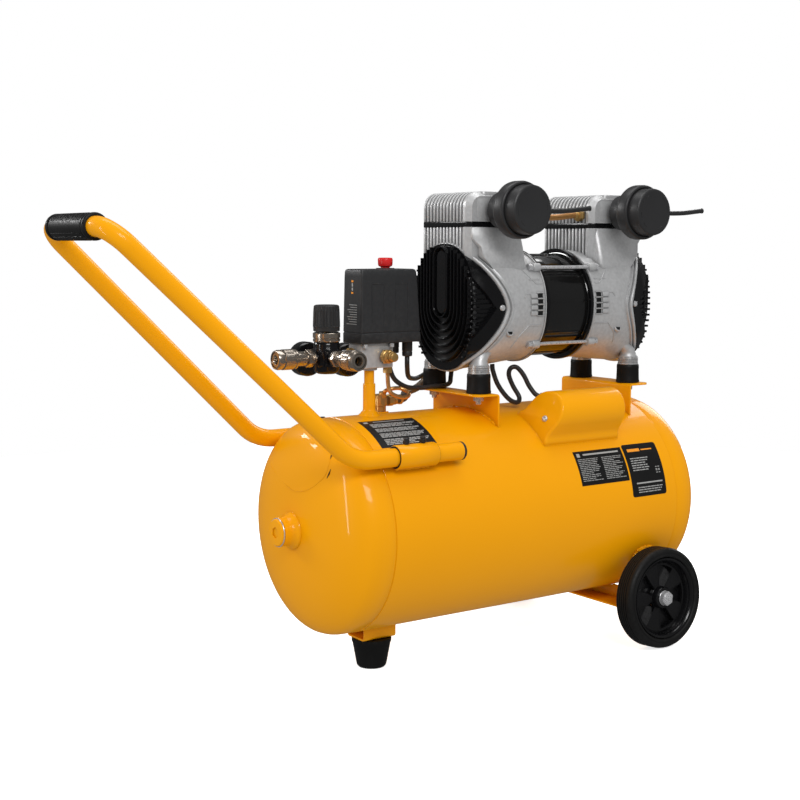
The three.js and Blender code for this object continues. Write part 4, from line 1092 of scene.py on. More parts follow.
def plate_on_body(xs, zs, side, low, lift):
    rings = []
    for x in (xs[0], (xs[0] + xs[1]) / 2, xs[1]):
        up = [on_body(x, z, side, low + lift) for z in (zs[0], sum(zs) / 2, zs[1])]
        down = [on_body(x, z, side, low - 2.0) for z in (zs[1], sum(zs) / 2, zs[0])]
        rings.append(up + down)
    return loft(rings)


def pump():
    for end, suffix in BODIES.items():
        piece(f"bell_{suffix}", mirror(bell_shell(), end), CAST, stands_for=f"end_bell_{suffix}", crease=50)
        bell_details(end, suffix)
        barrel(end, suffix)
        cylinder_head(end, suffix)
        piece(f"cover_{suffix}", mirror(cover_shell(), end), GLOSS_BLACK, stands_for=f"fan_cover_{suffix}",
              crease=28)
        plate, ribs, teeth = cover_face()
        piece(f"cover_{suffix}_face", mirror(plate, end), SATIN_BLACK, crease=30)
        piece(f"cover_{suffix}_ribs", mirror(ribs, end), GLOSS_BLACK, crease=40)
        piece(f"cover_{suffix}_teeth", mirror(teeth, end), GLOSS_BLACK, crease=30)
        screws = []
        for side in (-1, 1):
            at = on_body(129.5, 1, side, 1.6)
            screws.append(moved(turned([(0, -3), (4.4, -3), (4.4, 0.2), (3.8, 1.4), (2.4, 2.0), (0, 2.1)],
                                       28), *at,
                                turn("Z", side * -9) @ (ALONG_MINUS_Y if side < 0 else ALONG_Y)))
        piece(f"cover_{suffix}_screws", mirror(join(*screws), end), ZINC)
        filter_drum(end, suffix)
    stator()
    tie_rods()
    crossover()
    inner_parts()


def stator():
    h = 45.4
    outline = [(60, -h), (79.6, -h), (79.6, -h + 3.4), (77.2, -h + 4), (76.4, -h + 5), (76.4, h - 5),
               (77.2, h - 4),
               (79.6, h - 3.4), (79.6, h), (60, h)]
    piece("stator_shell", moved(turned(outline, 96), *PUMP, ALONG_X), STATOR_BLACK, stands_for="stator",
          crease=30)
    ribs = [moved(block(-h + 6, h - 6, -1.6, 1.6, 75.4, 77.4), 0, 0, 0,
                  turn("X", 36 * k + 12)) for k in range(10)]
    piece("stator_ribs", moved(join(*ribs), *PUMP), STATOR_BLACK, bevel=0.5)
    collars = [moved(turned([(79, x), (83.2, x), (84.2, x + 1), (84.2, x + 4.2), (83.2, x + 5.2),
                             (79, x + 5.2)], 96),
                     *PUMP, ALONG_X) for x in (-h + 0.2, h - 5.4)]
    piece("stator_collars", join(*collars), GLOSS_BLACK)


def tie_rods():
    rods, heads = [], []
    for y, z in ROD_PLACES:
        rods.append(moved(turned([(0, -64), (2.6, -64), (2.6, 64), (0, 64)], 20), 0, y, z, ALONG_X))
        head = join(moved(turned([(0, -61), (5.2, -61), (5.2, -62.2), (0, -62.2)], 28), 0, 0, 0, ALONG_X),
                    moved(prism(polygon(6, 10.4), -68.2, -62), 0, 0, 0, ALONG_X))
        nut = join(moved(turned([(0, 61), (5.2, 61), (5.2, 62.2), (0, 62.2)], 28), 0, 0, 0, ALONG_X),
                   moved(prism(polygon(6, 10.4), 62, 67), 0, 0, 0, ALONG_X))
        heads += [moved(head, 0, y, z), moved(nut, 0, y, z)]
    piece("tie_rods", moved(join(*rods), *PUMP), ZINC)
    piece("tie_rod_nuts", moved(join(*heads), *PUMP), ZINC, bevel=0.4)


def filter_drum(end, suffix):
    node = f"intake_filter_{suffix}"
    x, z, hi = PUMP.x + end * HEAD_X, PUMP.z + 138, corners(node)[1]
    outline = [(0, 54.4), (13, 54.4), (13, 62), (26, 64), (27.4, 88), (34, 89.4), (38.4, 92), (39.8, 94.5),
               (40.3, 97),
               (40.3, 109.6), (39.6, 112), (38.4, 113), (36.6, 113.2), (35.8, 112.4), (35.6, 110.8),
               (34.7, 110.8),
               (34.6, 112), (34.3, 129), (33.7, 131.4), (32.3, 132.6), (30.6, 132.9), (29.6, 132.7),
               (0, 132.7)]
    piece(f"filter_{suffix}", moved(turned(outline, 96), x, 0, z, ALONG_MINUS_Y), SATIN_BLACK,
          stands_for=node, crease=35)
    marks = []
    for k in range(10):
        if k in (2, 7):
            continue
        a0 = math.radians(36 * k)
        row = [(26.4 * math.cos(t), 26.4 * math.sin(t), 132.7) for t in angles(7, a0, a0 + 0.34, True)]
        marks.append(tube(row, 0.42, 6))
    piece(f"filter_{suffix}_marks", moved(join(*marks), x, 0, z, ALONG_MINUS_Y), SATIN_BLACK)
    start = Vector((x + 36, -102, z + 1))
    stop = hi.x - 0.4
    route = [start, Vector((x + 60, -102, z - 0.4)), Vector((x + 92, -102, z + 0.4)),
             Vector((stop - 14, -102, z + 3.0)),
             Vector((stop - 4, -102, z + 4.0)), Vector((stop, -102, z + 4.3))]
    line = spline(route, 8)
    piece(f"intake_pipe_{suffix}", tube(line, lambda t: 3.5 if t < 0.93 else 4.0, 20), SATIN_BLACK, crease=60)
    collar = [(2, 38), (6.2, 38), (6.2, 44), (5.0, 45.6), (2, 45.6)]
    piece(f"intake_collar_{suffix}", moved(turned(collar, 28), x, -102, z + 1, ALONG_X), SATIN_BLACK)


def crossover():
    """Copper pipe between the two heads with its unions."""
    z = PUMP.z + 134
    x0, x1 = PUMP.x - HEAD_X + 51, PUMP.x + HEAD_X - 51
    mid = (x0 + x1) / 2
    y, dip = -30, 3
    route = [(x0 - 3, y, z), (x0 + 16, y, z), (mid - 24, y, z - dip), (mid, y - 2, z - dip - 1),
             (mid + 24, y, z - dip), (x1 - 16, y, z), (x1 + 3, y, z)]
    piece("crossover_0", tube(spline(route, 8), 4.6, 20), COPPER, crease=60)
    unions = []
    for x, facing in ((x0, ALONG_X), (x1, ALONG_MINUS_X)):
        unions.append(moved(prism(polygon(6, 16), 0, 9), x, y, z, facing))
        unions.append(moved(turned([(0, 9), (6, 9), (5, 14), (0, 14)], 28), x, y, z, facing))
    piece("crossover_unions_0", join(*unions), BRASS, bevel=0.5)


def inner_parts():
    """Rotor with its shaft and fans, and the two pistons, out of sight inside the pump."""
    shaft = [(0, -168), (7.9, -168), (7.9, -40), (44, -40), (44, 40), (7.9, 40), (7.9, 168), (0, 168)]
    blades = []
    for end in (-1, 1):
        for k in range(9):
            blade = block(150, 160, -0.9, 0.9, 18, 48)
            blades.append(moved(blade if end > 0 else moved(blade, -310), 0, 0, 0, turn("X", 40 * k)))
        hub = [(8, end * 149), (19, end * 149), (19, end * 161), (8, end * 161)]
        blades.append(moved(turned(hub, 40), matrix=ALONG_X))
    crank = [moved(turned([(0, x - 7), (16, x - 7), (16, x + 7), (0, x + 7)], 40), 0, 0, -8, ALONG_X)
             for x in (-HEAD_X, HEAD_X)]
    piece("rotor_shaft", moved(join(moved(turned(shaft, 48), matrix=ALONG_X), *crank), *PUMP), ZINC, "rotor",
          stands_for="rotor", crease=40)
    piece("rotor_fans", moved(join(*blades), *PUMP), SATIN_BLACK, "rotor")
    for suffix in ("front", "rear"):
        lo, hi = corners(f"piston_{suffix}")
        x = (lo.x + hi.x) / 2
        crown = [(0, hi.z - 8), (30.4, hi.z - 8), (30.8, hi.z - 6.5), (30.8, hi.z - 1), (30, hi.z), (0, hi.z)]
        rod = [(0, lo.z), (6.8, lo.z), (5.6, lo.z + 12), (5.6, hi.z - 18), (9, hi.z - 7), (0, hi.z - 7)]
        piece(f"piston_{suffix}_crown", moved(join(turned(crown, 56), turned(rod, 28)), x), MACHINED,
              f"piston_{suffix}",
              stands_for=f"piston_{suffix}", crease=40)


# ---------------------------------------------------------------- capacitor cover
COVER_ANGLE = 33.6  # from straight up towards the right side


def on_cover(x, y, up):
    """Point in the cover's own frame: along the tank, across, and out from the tank's skin."""
    a = math.radians(COVER_ANGLE)
    out, across = Vector((0, -math.sin(a), math.cos(a))), Vector((0, math.cos(a), math.sin(a)))
    return Vector((x, 0, 0)) + across * y + out * (TANK_R + up)


def cover_outline(inset):
    r, centre, flare = 31 - inset, 26, 37 - inset
    side = [(flare, -8), (flare, -1), (flare - 0.6, 2.0), (r + 3.2, 4.2), (r + 1.2, 7), (r + 0.3, 12)]
    dome = [(r * math.cos(t), centre + r * math.sin(t)) for t in angles(25, 0, math.pi, True)]
    return side + dome + [(-y, z) for y, z in reversed(side)]


def slant(x, up):
    """The cover's handle end leans back towards its top."""
    return max(0.0, up) * 0.42 * max(0.0, (75 - x) / 50)


def capacitor_cover():
    x0, x1, soft = 25.0, 170.0, 4.0
    steps = [(soft * (1 - math.cos(t)), soft * (1 - math.sin(t))) for t in angles(7, 0, math.pi / 2, True)]
    stops = sorted((x0 + d, inset) for d, inset in steps)
    stops += [(x, 0) for x in (45, 60, 75)]
    stops += sorted((x1 - d, inset) for d, inset in steps)
    shell = loft([[on_cover(x + slant(x, z), y, z) for y, z in cover_outline(i)] for x, i in stops])
    piece("capacitor_shell", shell, YELLOW, stands_for="capacitor_cover", crease=40,
          cuts=[inside_tank(x0 - 20, x1 + 20, 0.15)])
    runs = [[(x, side * 37.2) for x in angles(16, x0 + 1, x1 - 1, True)] for side in (-1, 1)]
    runs += [[(x, y) for y in angles(8, -36, 36, True)] for x in (x0 - 0.2, x1 + 0.2)]
    for k, run in enumerate(runs):
        spots = []
        for x, y in run:
            a = math.radians(-COVER_ANGLE) + math.asin(y / TANK_R)
            spots.append(Vector((x, TANK_R * math.sin(a), TANK_R * math.cos(a))))
        weld(f"capacitor_weld_{k}", spots, 1.0, seed=20 + k)
    sloped = turn("X", COVER_ANGLE) @ turn("Y", -68)
    for suffix, x, facing in (("front", x0 + slant(x0, 22), sloped), ("rear", x1 - 1.4, ALONG_X)):
        at = on_cover(x, -8, 22)
        head = [(0, -2), (4.6, -2), (4.6, 0.3), (4.2, 1.2), (2.8, 2.2), (0, 2.5)]
        piece(f"capacitor_screw_{suffix}", moved(turned(head, 32), *at, facing), ZINC,
              cuts=[moved(block(-2.8, 2.8, -0.5, 0.5, 1.4, 4), *at, facing)])


# ---------------------------------------------------------------- pressure switch
SWITCH_Z = 252.0
GLANDS = [(-161, 8, 224), (-137, 0, 230), (-149, 16, 234)]


def box_ring(x0, x1, y, z, r=3.0):
    return [(px, py, z) for px, py in rounded(x0, x1, -y, y, r, 5)]


def switch():
    z = SWITCH_Z
    shell = [box_ring(-230.4, -129.6, 23.4, z, 2.6), box_ring(-231, -129, 24, z + 0.8),
             box_ring(-231, -129.9, 24, z + 13.2),
             box_ring(-230.2, -131, 23.2, z + 14.0), box_ring(-230.2, -131, 23.2, z + 14.9),
             box_ring(-230.8, -130.3, 23.8, z + 15.6), box_ring(-230.2, -132.6, 23.2, z + 50),
             box_ring(-229.5, -135.6, 22.5, z + 92), box_ring(-229.2, -136.4, 22.2, z + 98),
             box_ring(-228.4, -137.4, 21.4, z + 100.7), box_ring(-226.6, -139.2, 19.6, z + 101.8),
             box_ring(-224.5, -141, 17.5, z + 102)]
    piece("switch_case", loft(shell), GREY_PLASTIC, stands_for="switch_housing", crease=38)
    grooves = []
    for side in (-1, 1):
        for k in range(4):
            x = -212 + 20 * k
            low, high = (x - 0.6, side * 23.6, z + 22), (x - 0.2, side * 22.9, z + 82)
            grooves.append(tube([low, high], 0.55, 6))
            if k % 2 == 0:
                grooves.append(tube([high, (x + 18, side * 22.9, z + 82)], 0.55, 6))
    piece("switch_ribs", join(*grooves), GREY_PLASTIC)
    glands = []
    for x, y, low in GLANDS:
        outline = [(0, low), (6.4, low), (7.2, low + 1), (7.4, low + 6), (6.9, low + 7), (7.5, low + 8),
                   (7.5, z + 1), (0, z + 1)]
        glands.append(moved(turned(outline, 32), x, y))
        glands.append(moved(prism(polygon(6, 13), z - 7, z - 1.5), x, y))
    piece("switch_glands", join(*glands), SATIN_BLACK, crease=35)
    skirt = [(0, z + 101), (13.2, z + 101), (13.2, z + 102.6), (12.4, z + 103.1), (7.2, z + 103.1),
             (7.2, z + 101.6), (0, z + 101.6)]
    piece("switch_collar", moved(turned(skirt, 48), KNOB.x), GREY_PLASTIC)
    knob = [(0, z + 82), (4, z + 82), (4, z + 103), (6.4, z + 103), (6.4, z + 104.4), (9.4, z + 105.8),
            (10.2, z + 108),
            (10.5, z + 114.4), (10.1, z + 116.2), (9.2, z + 117.3), (4.6, z + 117.5), (4.2, z + 116.7),
            (0, z + 116.5)]
    piece("switch_button", moved(turned(knob, 48), KNOB.x), RED, "switch_knob", stands_for="switch_knob")
    marks, bars = [], []

    def front_at(up):
        """The case's front leans back as it rises."""
        return -229.9 + (up - 15) / 85 * 1.3

    for zz, w, h, tint in ((84, 4.4, 2.6, marks), (78, 2.4, 4.6, bars), (72.4, 2.4, 4.0, bars),
                           (68, 4.4, 2.6, marks)):
        x = front_at(zz)
        tint.append(block(x - 1.15, x, -w / 2, w / 2, z + zz, z + zz + h))
    for k in range(9):
        zz = 26 + 3.3 * k
        x = front_at(zz)
        bars.append(block(x - 1.2, x, -12, 13 - (k * 7) % 10, z + zz, z + zz + 0.8))
    piece("switch_marks_orange", join(*marks), ORANGE_PRINT)
    piece("switch_marks", join(*bars), PRINT)


# ---------------------------------------------------------------- air fittings
def hex_nut(across, z0, z1):
    """Hexagon with its corners turned down."""
    ring = prism(polygon(6, across), z0, z1)
    r = across / 2
    keep = turned([(r * 1.02, z0 - 1), (r * 1.5, z0 - 1), (r * 1.5, z1 + 1), (r * 1.02, z1 + 1),
                   (r * 1.19, z1 - 0.9),
                   (r * 1.19, z0 + 0.9)], 48)
    return ring, keep


def nut_piece(name, across, z0, z1, finish, place, body="chassis"):
    ring, keep = hex_nut(across, z0, z1)
    x, y, z, m = place
    piece(name, moved(ring, x, y, z, m), finish, body, cuts=[moved(keep, x, y, z, m)], bevel=0.25)


def manifold():
    z = AIR_Z
    core = loft([box_ring(-225, -173, 16.0, z - 17, 3), box_ring(-226, -172, 17, z - 16, 3.4),
                 box_ring(-226, -172, 17, SWITCH_Z - 1.5, 3.4),
                 box_ring(-226, -172, 17, SWITCH_Z - 0.4, 3.4)])
    arms = [moved(turned([(0, 20), (9, 20), (9, 47.2), (8.4, 47.9), (0, 47.9)], 40), STAND_X, 0, z,
                  ALONG_MINUS_X),
            moved(turned([(0, 14), (6, 14), (6, 36.9), (0, 36.9)], 32), -208, 0, 225, ALONG_Y),
            moved(turned([(0, z - 20.6), (11, z - 20.6), (11, z - 15), (0, z - 15)], 40), STAND_X)]
    piece("manifold_body", join(core, *arms), CAST, stands_for="manifold", bevel=0.5, crease=38)
    nut_piece("manifold_nut_front", 20, 27, 36, BRASS, (STAND_X, 0, z, ALONG_MINUS_X))
    bolts = [moved(turned([(0, SWITCH_Z - 6), (3.4, SWITCH_Z - 6), (3.4, SWITCH_Z - 1), (0, SWITCH_Z - 1)],
                          24), x, y)
             for x, y in ((-222, -20.6), (-178, -20.6))]
    piece("manifold_screws", join(*bolts), ZINC)
    # safety valve with its pull cap
    zs = z - 1
    body = [(3, 17.3), (8, 17.3), (8, 19.4), (9.6, 19.8), (9.6, 25.8), (8.4, 26.4), (8.4, 31.4),
            (7.6, 32.4), (7.6, 33.9),
            (3, 33.9)]
    piece("safety_valve_body", moved(turned(body, 40), -187, 0, zs, ALONG_MINUS_Y), BRASS,
          stands_for="safety_valve")
    nut_piece("safety_valve_nut", 18.6, 19.6, 25.6, BRASS, (-187, 0, zs, ALONG_MINUS_Y))
    cap = [(0, 24), (2.6, 24), (2.6, 34.3), (6.4, 34.3), (6.9, 35.4), (6.9, 36.4), (6.2, 37), (6.2, 38.4),
           (6.6, 39), (6, 41.4),
           (5, 42), (0, 42)]
    piece("safety_valve_pull", moved(turned(cap, 40), -187, 0, zs, ALONG_MINUS_Y), BRASS, "safety_valve_cap",
          stands_for="safety_valve_cap")
    x, y = -178, -10
    nut_piece("unloader_nut", 12, z - 25, z - 16.5, BRASS, (x, y, 0, Matrix.Identity(4)))
    route = [(x, y, z - 22), (x + 0.5, y - 2, z - 44), (-174, -15, 180), (-160, -17.5, 174),
             (-146, -14, 174), (-139, -6, 178.5),
             (-146, 3, 184), (-159, 4, 184.5), (-166.5, 8.5, 182), (-168, 14, 178), (-168, 17.5, 173)]
    piece("unloader_tube", tube(spline(route, 8), 2.9, 18), COPPER, crease=60)
    nut_piece("unloader_nut_low", 10, 0, 8, BRASS, (-168, 17.9, 171, turn("X", 14)))


def check_valve():
    x, y, z = -168.0, 22.0, 166.0
    neck = [(0, TANK_R - 6), (8, TANK_R - 6), (8, z - 8), (9.4, z - 7), (9.4, z + 7.6), (8, z + 9.4),
            (0, z + 9.9)]
    arm = [(0, 0), (7, 0), (7, 17), (6.4, 17.6), (6.4, 21.9), (0, 21.9)]
    shape = join(moved(turned(neck, 36), x, y), moved(turned(arm, 32), x, y, z, ALONG_X))
    piece("check_valve_body", shape, BRASS, stands_for="check_valve", cuts=[inside_tank(-200, -130, 0.15)])
    nut_piece("check_valve_nut", 18, z - 5, z + 5, BRASS, (x, y, 0, Matrix.Identity(4)))
    nut_piece("check_valve_union", 15, 12, 21, BRASS, (x, y, z, ALONG_X))
    weld("check_valve_weld", [on_tank(x + 10.5 * math.cos(t),
                                      -math.degrees(math.asin((y + 10.5 * math.sin(t)) / TANK_R)), 0.4)
                              for t in angles(15, 0, 2 * math.pi, True)], 1.4, seed=31)


def drain():
    place = turn("X", 28)
    top = -TANK_R - 0.3
    at = (80, 0, 0)
    stem = [(2, top), (6.8, top), (6.8, top - 5), (5, top - 6), (5, top - 16), (2, top - 16)]
    piece("drain_stem", moved(turned(stem, 36), *at, place), BRASS, stands_for="drain_valve")
    nut_piece("drain_nut", 13.2, top - 5, top - 0.6, BRASS, (*at, place))
    hub = [(0, top - 24), (5.2, top - 24), (6, top - 23), (6, top - 17.2), (5.4, top - 16.5), (0, top - 16.5)]
    wing = [(-11, top - 26), (-4, top - 25.2), (4, top - 25.2), (11, top - 26), (11, top - 20.6),
            (9.4, top - 19), (-9.4, top - 19),
            (-11, top - 20.6)]
    ear = loft([[(px, py, pz) for px, pz in wing] for py in (-2, 2)])
    piece("drain_tap_hub", moved(turned(hub, 36), *at, place), BRASS, "drain_tap", stands_for="drain_tap")
    piece("drain_tap_wing", moved(ear, *at, place), BRASS, "drain_tap", bevel=0.8)


def regulator():
    x, z = REG.x, AIR_Z
    body = [(0, z - 22), (12, z - 22), (14, z - 21), (16.4, z - 19.4), (18.2, z - 16.6), (18.4, z - 9),
            (19, z - 8), (19, z + 12),
            (18.4, z + 13), (18.4, z + 18), (17.4, z + 20.4), (16.6, z + 21.6), (16.6, z + 35), (0, z + 35)]
    arms = [moved(turned([(0, 14), (10, 14), (10, 21.3), (0, 21.3)], 40), x, 0, z, ALONG_X),
            moved(turned([(0, 14), (9, 14), (9, 19.9), (0, 19.9)], 40), x, 0, z, ALONG_MINUS_X),
            moved(turned([(0, 14), (9, 14), (9, 19.9), (0, 19.9)], 40), x, 0, z, ALONG_MINUS_Y),
            moved(turned([(0, 14), (6, 14), (6, 36.9), (0, 36.9)], 32), x - 3, 0, z - 5, ALONG_Y)]
    piece("regulator_case", join(moved(turned(body, 64), x), *arms), GLOSS_BLACK, stands_for="regulator_body")
    for name, m in (("x", ALONG_X), ("minus_x", ALONG_MINUS_X), ("minus_y", ALONG_MINUS_Y)):
        pad = prism(rounded(-12.5, 12.5, -12.5, 12.5, 4), 10, 17.6)
        piece(f"regulator_port_{name}", moved(pad, x, 0, z, m), GLOSS_BLACK, bevel=1.0)
    band = [(16.5, z + 22), (18.2, z + 22), (18.6, z + 22.6), (18.6, z + 25.2), (17.8, z + 25.8),
            (17.8, z + 27), (18.8, z + 27.6),
            (18.8, z + 33.4), (18.2, z + 34), (16.5, z + 34)]
    piece("regulator_ring", moved(turned(band, 64), x), NICKEL, crease=35)
    lip, top = z + 36.2, z + 72
    rings = []
    for zz, r, depth in ((lip, 17.6, 0), (lip + 0.8, 18.2, 0), (lip + 5.5, 18.2, 0), (lip + 6.2, 18.6, 0),
                         (lip + 7.0, 18.6, 1.3),
                         (lip + 27, 18.0, 1.3), (lip + 29.5, 17.8, 0.9), (top - 2.0, 17.4, 0.2),
                         (top - 0.5, 16.2, 0),
                         (top, 14.2, 0)):
        ring = []
        for i, t in enumerate(angles(96)):
            notch = depth * (1 if i % 4 in (0, 1) else 0)
            ring.append(((r - notch) * math.cos(t), (r - notch) * math.sin(t), zz))
        rings.append(ring)
    piece("regulator_cap", moved(loft(rings), x), SATIN_BLACK, "regulator_knob",
          stands_for="regulator_knob", crease=30)
    spindle = [(0, z + 27), (4, z + 27), (4, z + 37), (0, z + 37)]
    piece("regulator_spindle", moved(turned(spindle, 28), x), BRASS, "regulator_knob")
    arrows = []
    for a0, a1 in ((20, 130), (200, 310)):
        row = [(8 * math.cos(math.radians(t)), 8 * math.sin(math.radians(t)), top - 0.2)
               for t in angles(14, a0, a1, True)]
        arrows.append(tube(row, 0.5, 6))
    piece("regulator_marks", moved(join(*arrows), x, 0, -0.3), PRINT, "regulator_knob")


def coupler(name, origin, m):
    x, y, z = origin
    body = [(3, 0), (8.6, 0), (8.6, 14.6), (9.6, 15.2), (10, 16.4), (10, 28), (9.6, 28.4), (9.6, 33),
            (10, 33.4), (10, 59),
            (9.4, 60), (6.4, 60), (6, 59.4), (6, 34), (3, 33)]
    piece(f"coupler_{name}_body", moved(turned(body, 48), x, y, z, m), NICKEL,
          stands_for=f"coupler_body_{name}",
          crease=40)
    nut_piece(f"coupler_{name}_nut", 21, 3, 13, NICKEL, (x, y, z, m))
    outline = [(10.3, 30), (12.8, 30), (13.4, 30.6), (13.4, 33), (12.6, 33.6), (12.6, 35.4), (13.6, 36),
               (13.6, 37), (10.3, 37)]
    low = turned(outline, 60)
    rings = []
    for zz, r, d in ((36.8, 10.3, 0), (36.8, 13.5, 0), (37.2, 14, 0.2), (50.4, 14, 0.2), (50.8, 13.5, 0),
                     (50.8, 10.3, 0)):
        rings.append([((r - (d if i % 2 else 0)) * math.cos(t), (r - (d if i % 2 else 0)) * math.sin(t), zz)
                      for i, t in enumerate(angles(96))])
    rings.append(rings[0])
    grip_band = loft(rings, cap=False)
    high = turned([(10.3, 50.6), (13.2, 50.6), (12.4, 51.6), (12.4, 53.2), (13.6, 54), (13.6, 57.6),
                   (12.6, 60.6), (11.6, 61),
                   (10.3, 61)], 60)
    slot = f"coupler_sleeve_{name}"
    piece(f"coupler_{name}_sleeve", moved(join(low, high), x, y, z, m), NICKEL, slot, stands_for=slot)
    piece(f"coupler_{name}_knurl", moved(grip_band, x, y, z, m), NICKEL, slot, crease=20)
    seat = [(2.6, 40), (6.1, 40), (6.1, 42), (2.6, 42)]
    piece(f"coupler_{name}_seal", moved(turned(seat, 36), x, y, z, m), RUBBER)
    poppet = [(0, 36), (4.2, 36), (4.2, 41), (2.6, 44), (1.4, 44.6), (0, 44.8)]
    piece(f"coupler_{name}_poppet", moved(turned(poppet, 36), x, y, z, m), BRASS)


def gauge(name, x, z):
    m = ALONG_Y
    case_ = [(0, 37.4), (8, 37.4), (16, 38.4), (22, 39.6), (23.6, 41.6), (24, 44), (24, 56.4), (23.8, 58.4),
             (23.2, 59.6), (22.6, 60),
             (21.7, 59.4), (21.4, 58.4), (21.4, 54.8), (0, 54.8)]
    piece(f"gauge_{name}_case", moved(turned(case_, 72), x, 0, z, m), GLOSS_BLACK, stands_for=f"gauge_{name}")
    face = [(0, 54.7), (21.3, 54.7), (21.3, 55.2), (0, 55.2)]
    piece(f"gauge_{name}_dial", moved(turned(face, 72), x, 0, z, m), DIAL)
    ticks = []
    for k in range(41):
        a = math.radians(135 - 270 * k / 40)
        long = k % 4 == 0
        r0, w = (15.4 if long else 17.0), (0.34 if long else 0.2)
        tick = block(r0, 18.8, -w, w, 0, 0.16)
        ticks.append(moved(tick, 0, 0, 55.2, turn("Z", math.degrees(a) - 90)))
    ring = [(18.8, 55.2), (19.1, 55.2), (19.1, 55.36), (18.8, 55.36)]
    piece(f"gauge_{name}_ticks", moved(join(*ticks, turned(ring, 72)), x, 0, z, m), LABEL)
    nut_piece(f"gauge_{name}_nut", 14, 29.5, 37, BRASS, (x, 0, z, m))
    outline = [(-1.2, -5), (1.2, -5), (0.8, 0), (0.45, 15.6), (-0.45, 15.6), (-0.8, 0)]
    points, faces = moved(loft([[(u, v, h) for u, v in outline] for h in (56.4, 57.1)]),
                          matrix=turn("X", 90) @ turn("Z", 180))
    hand = [Vector((p.x, abs(p.y), p.z)) for p in points], faces
    body = f"needle_{name}"
    piece(f"gauge_{name}_hand", moved(moved(hand, matrix=turn("Y", 135)), x, 0, z), GLOSS_BLACK, body,
          stands_for=f"gauge_needle_{name}")
    hub = [(0, 55.3), (2.2, 55.3), (2.2, 57.6), (1.8, 58), (0, 58)]
    piece(f"gauge_{name}_hub", moved(turned(hub, 28), x, 0, z, m), GLOSS_BLACK, body)
    lens = [(0, 58.6), (21.3, 58.6), (21.3, 59.2), (0, 59.2)]
    piece(f"gauge_{name}_glass", moved(turned(lens, 72), x, 0, z, m), GLASS)


# ---------------------------------------------------------------- hose and leads, held at both ends
HOSE = [(-145.7, 22, 166), (-134, 22, 166), (-110, 44, 166), (-80, 84, 167), (-45, 98, 174), (-18, 104, 196),
        (-8, 108, 240), (-8, 108, 310), (-12, 104, 385), (-18, 90, 424), (-19, 72, 432), (-19, 54.7, 432)]
LEADS = {
    "switch_lead": [(-161, 8, 223.6), (-161, 8, 212), (-152, 8, 196), (-130, 10, 184.5), (-100, 18, 181),
                    (-72, 28, 180.5), (-50, 31.5, 180.5), (-34, 36, 183), (-27, 42, 192), (-24, 44, 206),
                    (-24, 44, 218.5)],
    "motor_lead": [(-137, 0, 229.6), (-137, 0, 218), (-126, 14, 203), (-105, 40, 195), (-82, 66, 190),
                   (-58, 84, 188),
                   (-38, 84, 197), (-32, 68, 214), (-32, 62, 226)],
    "capacitor_lead": [(2, -20, 213.5), (3, -21, 203), (10, -25, 182), (24, -32, 162), (38, -35, 156),
                       (46, -30, 163),
                       (40, -22, 180), (34, -20, 196), (36, -22, 206), (44, -26, 207), (52, -32, 196),
                       (58, -38, 180),
                       (64, -45, 168), (70, -50, 164)],
}


def lines():
    piece("hose_core", tube(spline(HOSE, 12), 5.5, 24), BRAID, stands_for="delivery_hose", crease=60)
    strands = []
    path = spline(HOSE, 16)
    for sense in (-1, 1):
        for s in range(7):
            strands.append(tube(wound(path, 5.55, sense, 2 * math.pi * s / 7), 0.44, 5))
    piece("hose_braid", join(*strands), BRAID, crease=60)
    for k, (a, b) in enumerate(((0, 1), (-1, -2))):
        p, q = Vector(HOSE[a]), Vector(HOSE[b])
        along = (q - p).normalized().to_track_quat("Z", "Y").to_matrix().to_4x4()
        ferrule = [(5, 0), (6.6, 0), (7.2, 0.8), (7.2, 3), (6.6, 3.6), (6.6, 9), (7.2, 9.6), (7.2, 13),
                   (6.4, 14), (5, 14)]
        piece(f"hose_ferrule_{k}", moved(turned(ferrule, 36), *p, along), BRASS)
    for name, stops in LEADS.items():
        piece(f"{name}_sheath", tube(spline(stops, 12), 3.5, 18), SATIN_BLACK, stands_for=name, crease=60)
    grommet = [(3.6, -3), (6, -3), (6, 1), (5, 2.2), (3.6, 2.2)]
    spot, before = Vector(LEADS["capacitor_lead"][-1]), Vector(LEADS["capacitor_lead"][-2])
    along = (before - spot).normalized().to_track_quat("Z", "Y").to_matrix().to_4x4()
    piece("capacitor_grommet", moved(turned(grommet, 32), *spot, along), RUBBER)


STRAND_TURNS = 0.105  # turns of a braid strand for each mm of hose


def wound(path, radius, sense, phase):
    """One strand wound round a path."""
    out, side = [], None
    travelled = 0.0
    for k, p in enumerate(path):
        a, b = path[max(k - 1, 0)], path[min(k + 1, len(path) - 1)]
        tangent = (b - a).normalized()
        if side is None:
            side = tangent.orthogonal().normalized()
        side = (side - tangent * side.dot(tangent)).normalized()
        up = tangent.cross(side)
        if k:
            travelled += (p - path[k - 1]).length
        t = phase + sense * travelled * STRAND_TURNS * 2 * math.pi
        out.append(p + side * (radius * math.cos(t)) + up * (radius * math.sin(t)))
    return out


def air_group():
    capacitor_cover()
    switch()
    manifold()
    check_valve()
    regulator()
    coupler("front", (REG.x - 20.3, 0, AIR_Z), ALONG_MINUS_X)
    coupler("side", (REG.x, -20.3, AIR_Z), ALONG_MINUS_Y)
    gauge("outlet", REG.x - 3, AIR_Z - 5)
    gauge("tank", -208, 225)
    drain()
    lines()


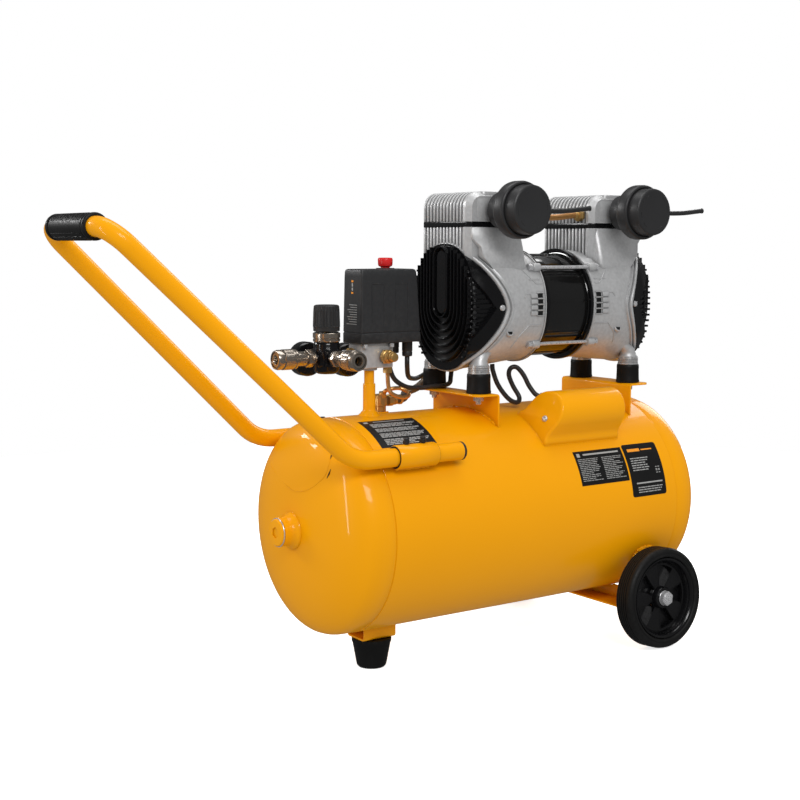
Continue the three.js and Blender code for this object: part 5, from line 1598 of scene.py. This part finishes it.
# ---------------------------------------------------------------- camera, light and floor
def camera():
    data = bpy.data.cameras.new("camera")
    data.lens, data.sensor_width = 62.793, 36
    data.clip_start, data.clip_end = 0.05, 30
    o = bpy.data.objects.new("camera", data)
    bpy.context.scene.collection.objects.link(o)
    forward = Vector((0.57163278, 0.81296888, -0.1109845)).normalized()
    roll = math.radians(0.14)
    right = forward.cross(Vector((0, 0, 1))).normalized()
    up = right.cross(forward)
    right, up = right * math.cos(roll) + up * math.sin(roll), up * math.cos(roll) - right * math.sin(roll)
    o.matrix_world = Matrix((right, up, -forward)).transposed().to_4x4()
    o.location = ORIGIN + Vector((-1.28371, -1.61345, 0.38815))
    bpy.context.scene.camera = o


def area_light(name, place, size, power):
    """Soft rectangular light aimed at the machine's middle."""
    data = bpy.data.lights.new(name, "AREA")
    data.shape = "RECTANGLE"
    data.size, data.size_y = size
    data.energy = power
    o = bpy.data.objects.new(name, data)
    bpy.context.scene.collection.objects.link(o)
    o.location = place
    o.rotation_mode = "QUATERNION"
    o.rotation_quaternion = (Vector((0, 0, 0.35)) - Vector(place)).to_track_quat("-Z", "Y")


def studio():
    world = bpy.data.worlds.new("studio")
    bpy.context.scene.world = world
    world.use_nodes = True
    nodes, link = world.node_tree.nodes, world.node_tree.links.new
    soft = nodes["Background"]
    white, dim = nodes.new("ShaderNodeBackground"), nodes.new("ShaderNodeBackground")
    for glow, strength in ((soft, 0.70), (white, 1.0), (dim, 0.12)):
        glow.inputs["Color"].default_value = (1, 1, 1, 1)
        glow.inputs["Strength"].default_value = strength
    seen = nodes.new("ShaderNodeLightPath")
    shiny, mix = nodes.new("ShaderNodeMixShader"), nodes.new("ShaderNodeMixShader")
    link(seen.outputs["Is Glossy Ray"], shiny.inputs["Fac"])
    link(soft.outputs[0], shiny.inputs[1])
    link(dim.outputs[0], shiny.inputs[2])
    link(seen.outputs["Is Camera Ray"], mix.inputs["Fac"])
    link(shiny.outputs[0], mix.inputs[1])
    link(white.outputs[0], mix.inputs[2])
    link(mix.outputs[0], nodes["World Output"].inputs["Surface"])
    area_light("key", (-0.8, -2.3, 2.1), (1.3, 0.8), 34)
    area_light("top", (0.3, 0.2, 2.5), (2.2, 1.0), 20)
    area_light("strip", (-2.6, 0.3, 0.7), (0.12, 1.6), 8)
    area_light("behind", (-1.7, 2.5, 1.6), (1.2, 0.25), 22)
    area_light("rim", (2.2, 0.8, 1.5), (0.8, 1.6), 18)
    bpy.context.scene.view_settings.view_transform = "Standard"
    disc = [(2200 * math.cos(t), 2200 * math.sin(t), FLOOR) for t in angles(64)]
    floor = bpy.data.objects.new("floor", mesh_of("floor", (disc, [tuple(range(64))])))
    bpy.context.scene.collection.objects.link(floor)
    floor.location.z = -0.0002
    pale = material("pale_floor", (0.93, 0.93, 0.93), 0.7, mottle=0.004, bump=0.0)
    glow = pale.node_tree.nodes["Principled BSDF"]
    glow.inputs["Emission Color"].default_value = (1, 1, 1, 1)
    glow.inputs["Emission Strength"].default_value = 0.75
    floor.data.materials.append(pale)
    floor.visible_diffuse = False
    floor.visible_glossy = False


camera()
studio()
receiver()
labels()
chassis()
handle()
saddles()
pump()
air_group()
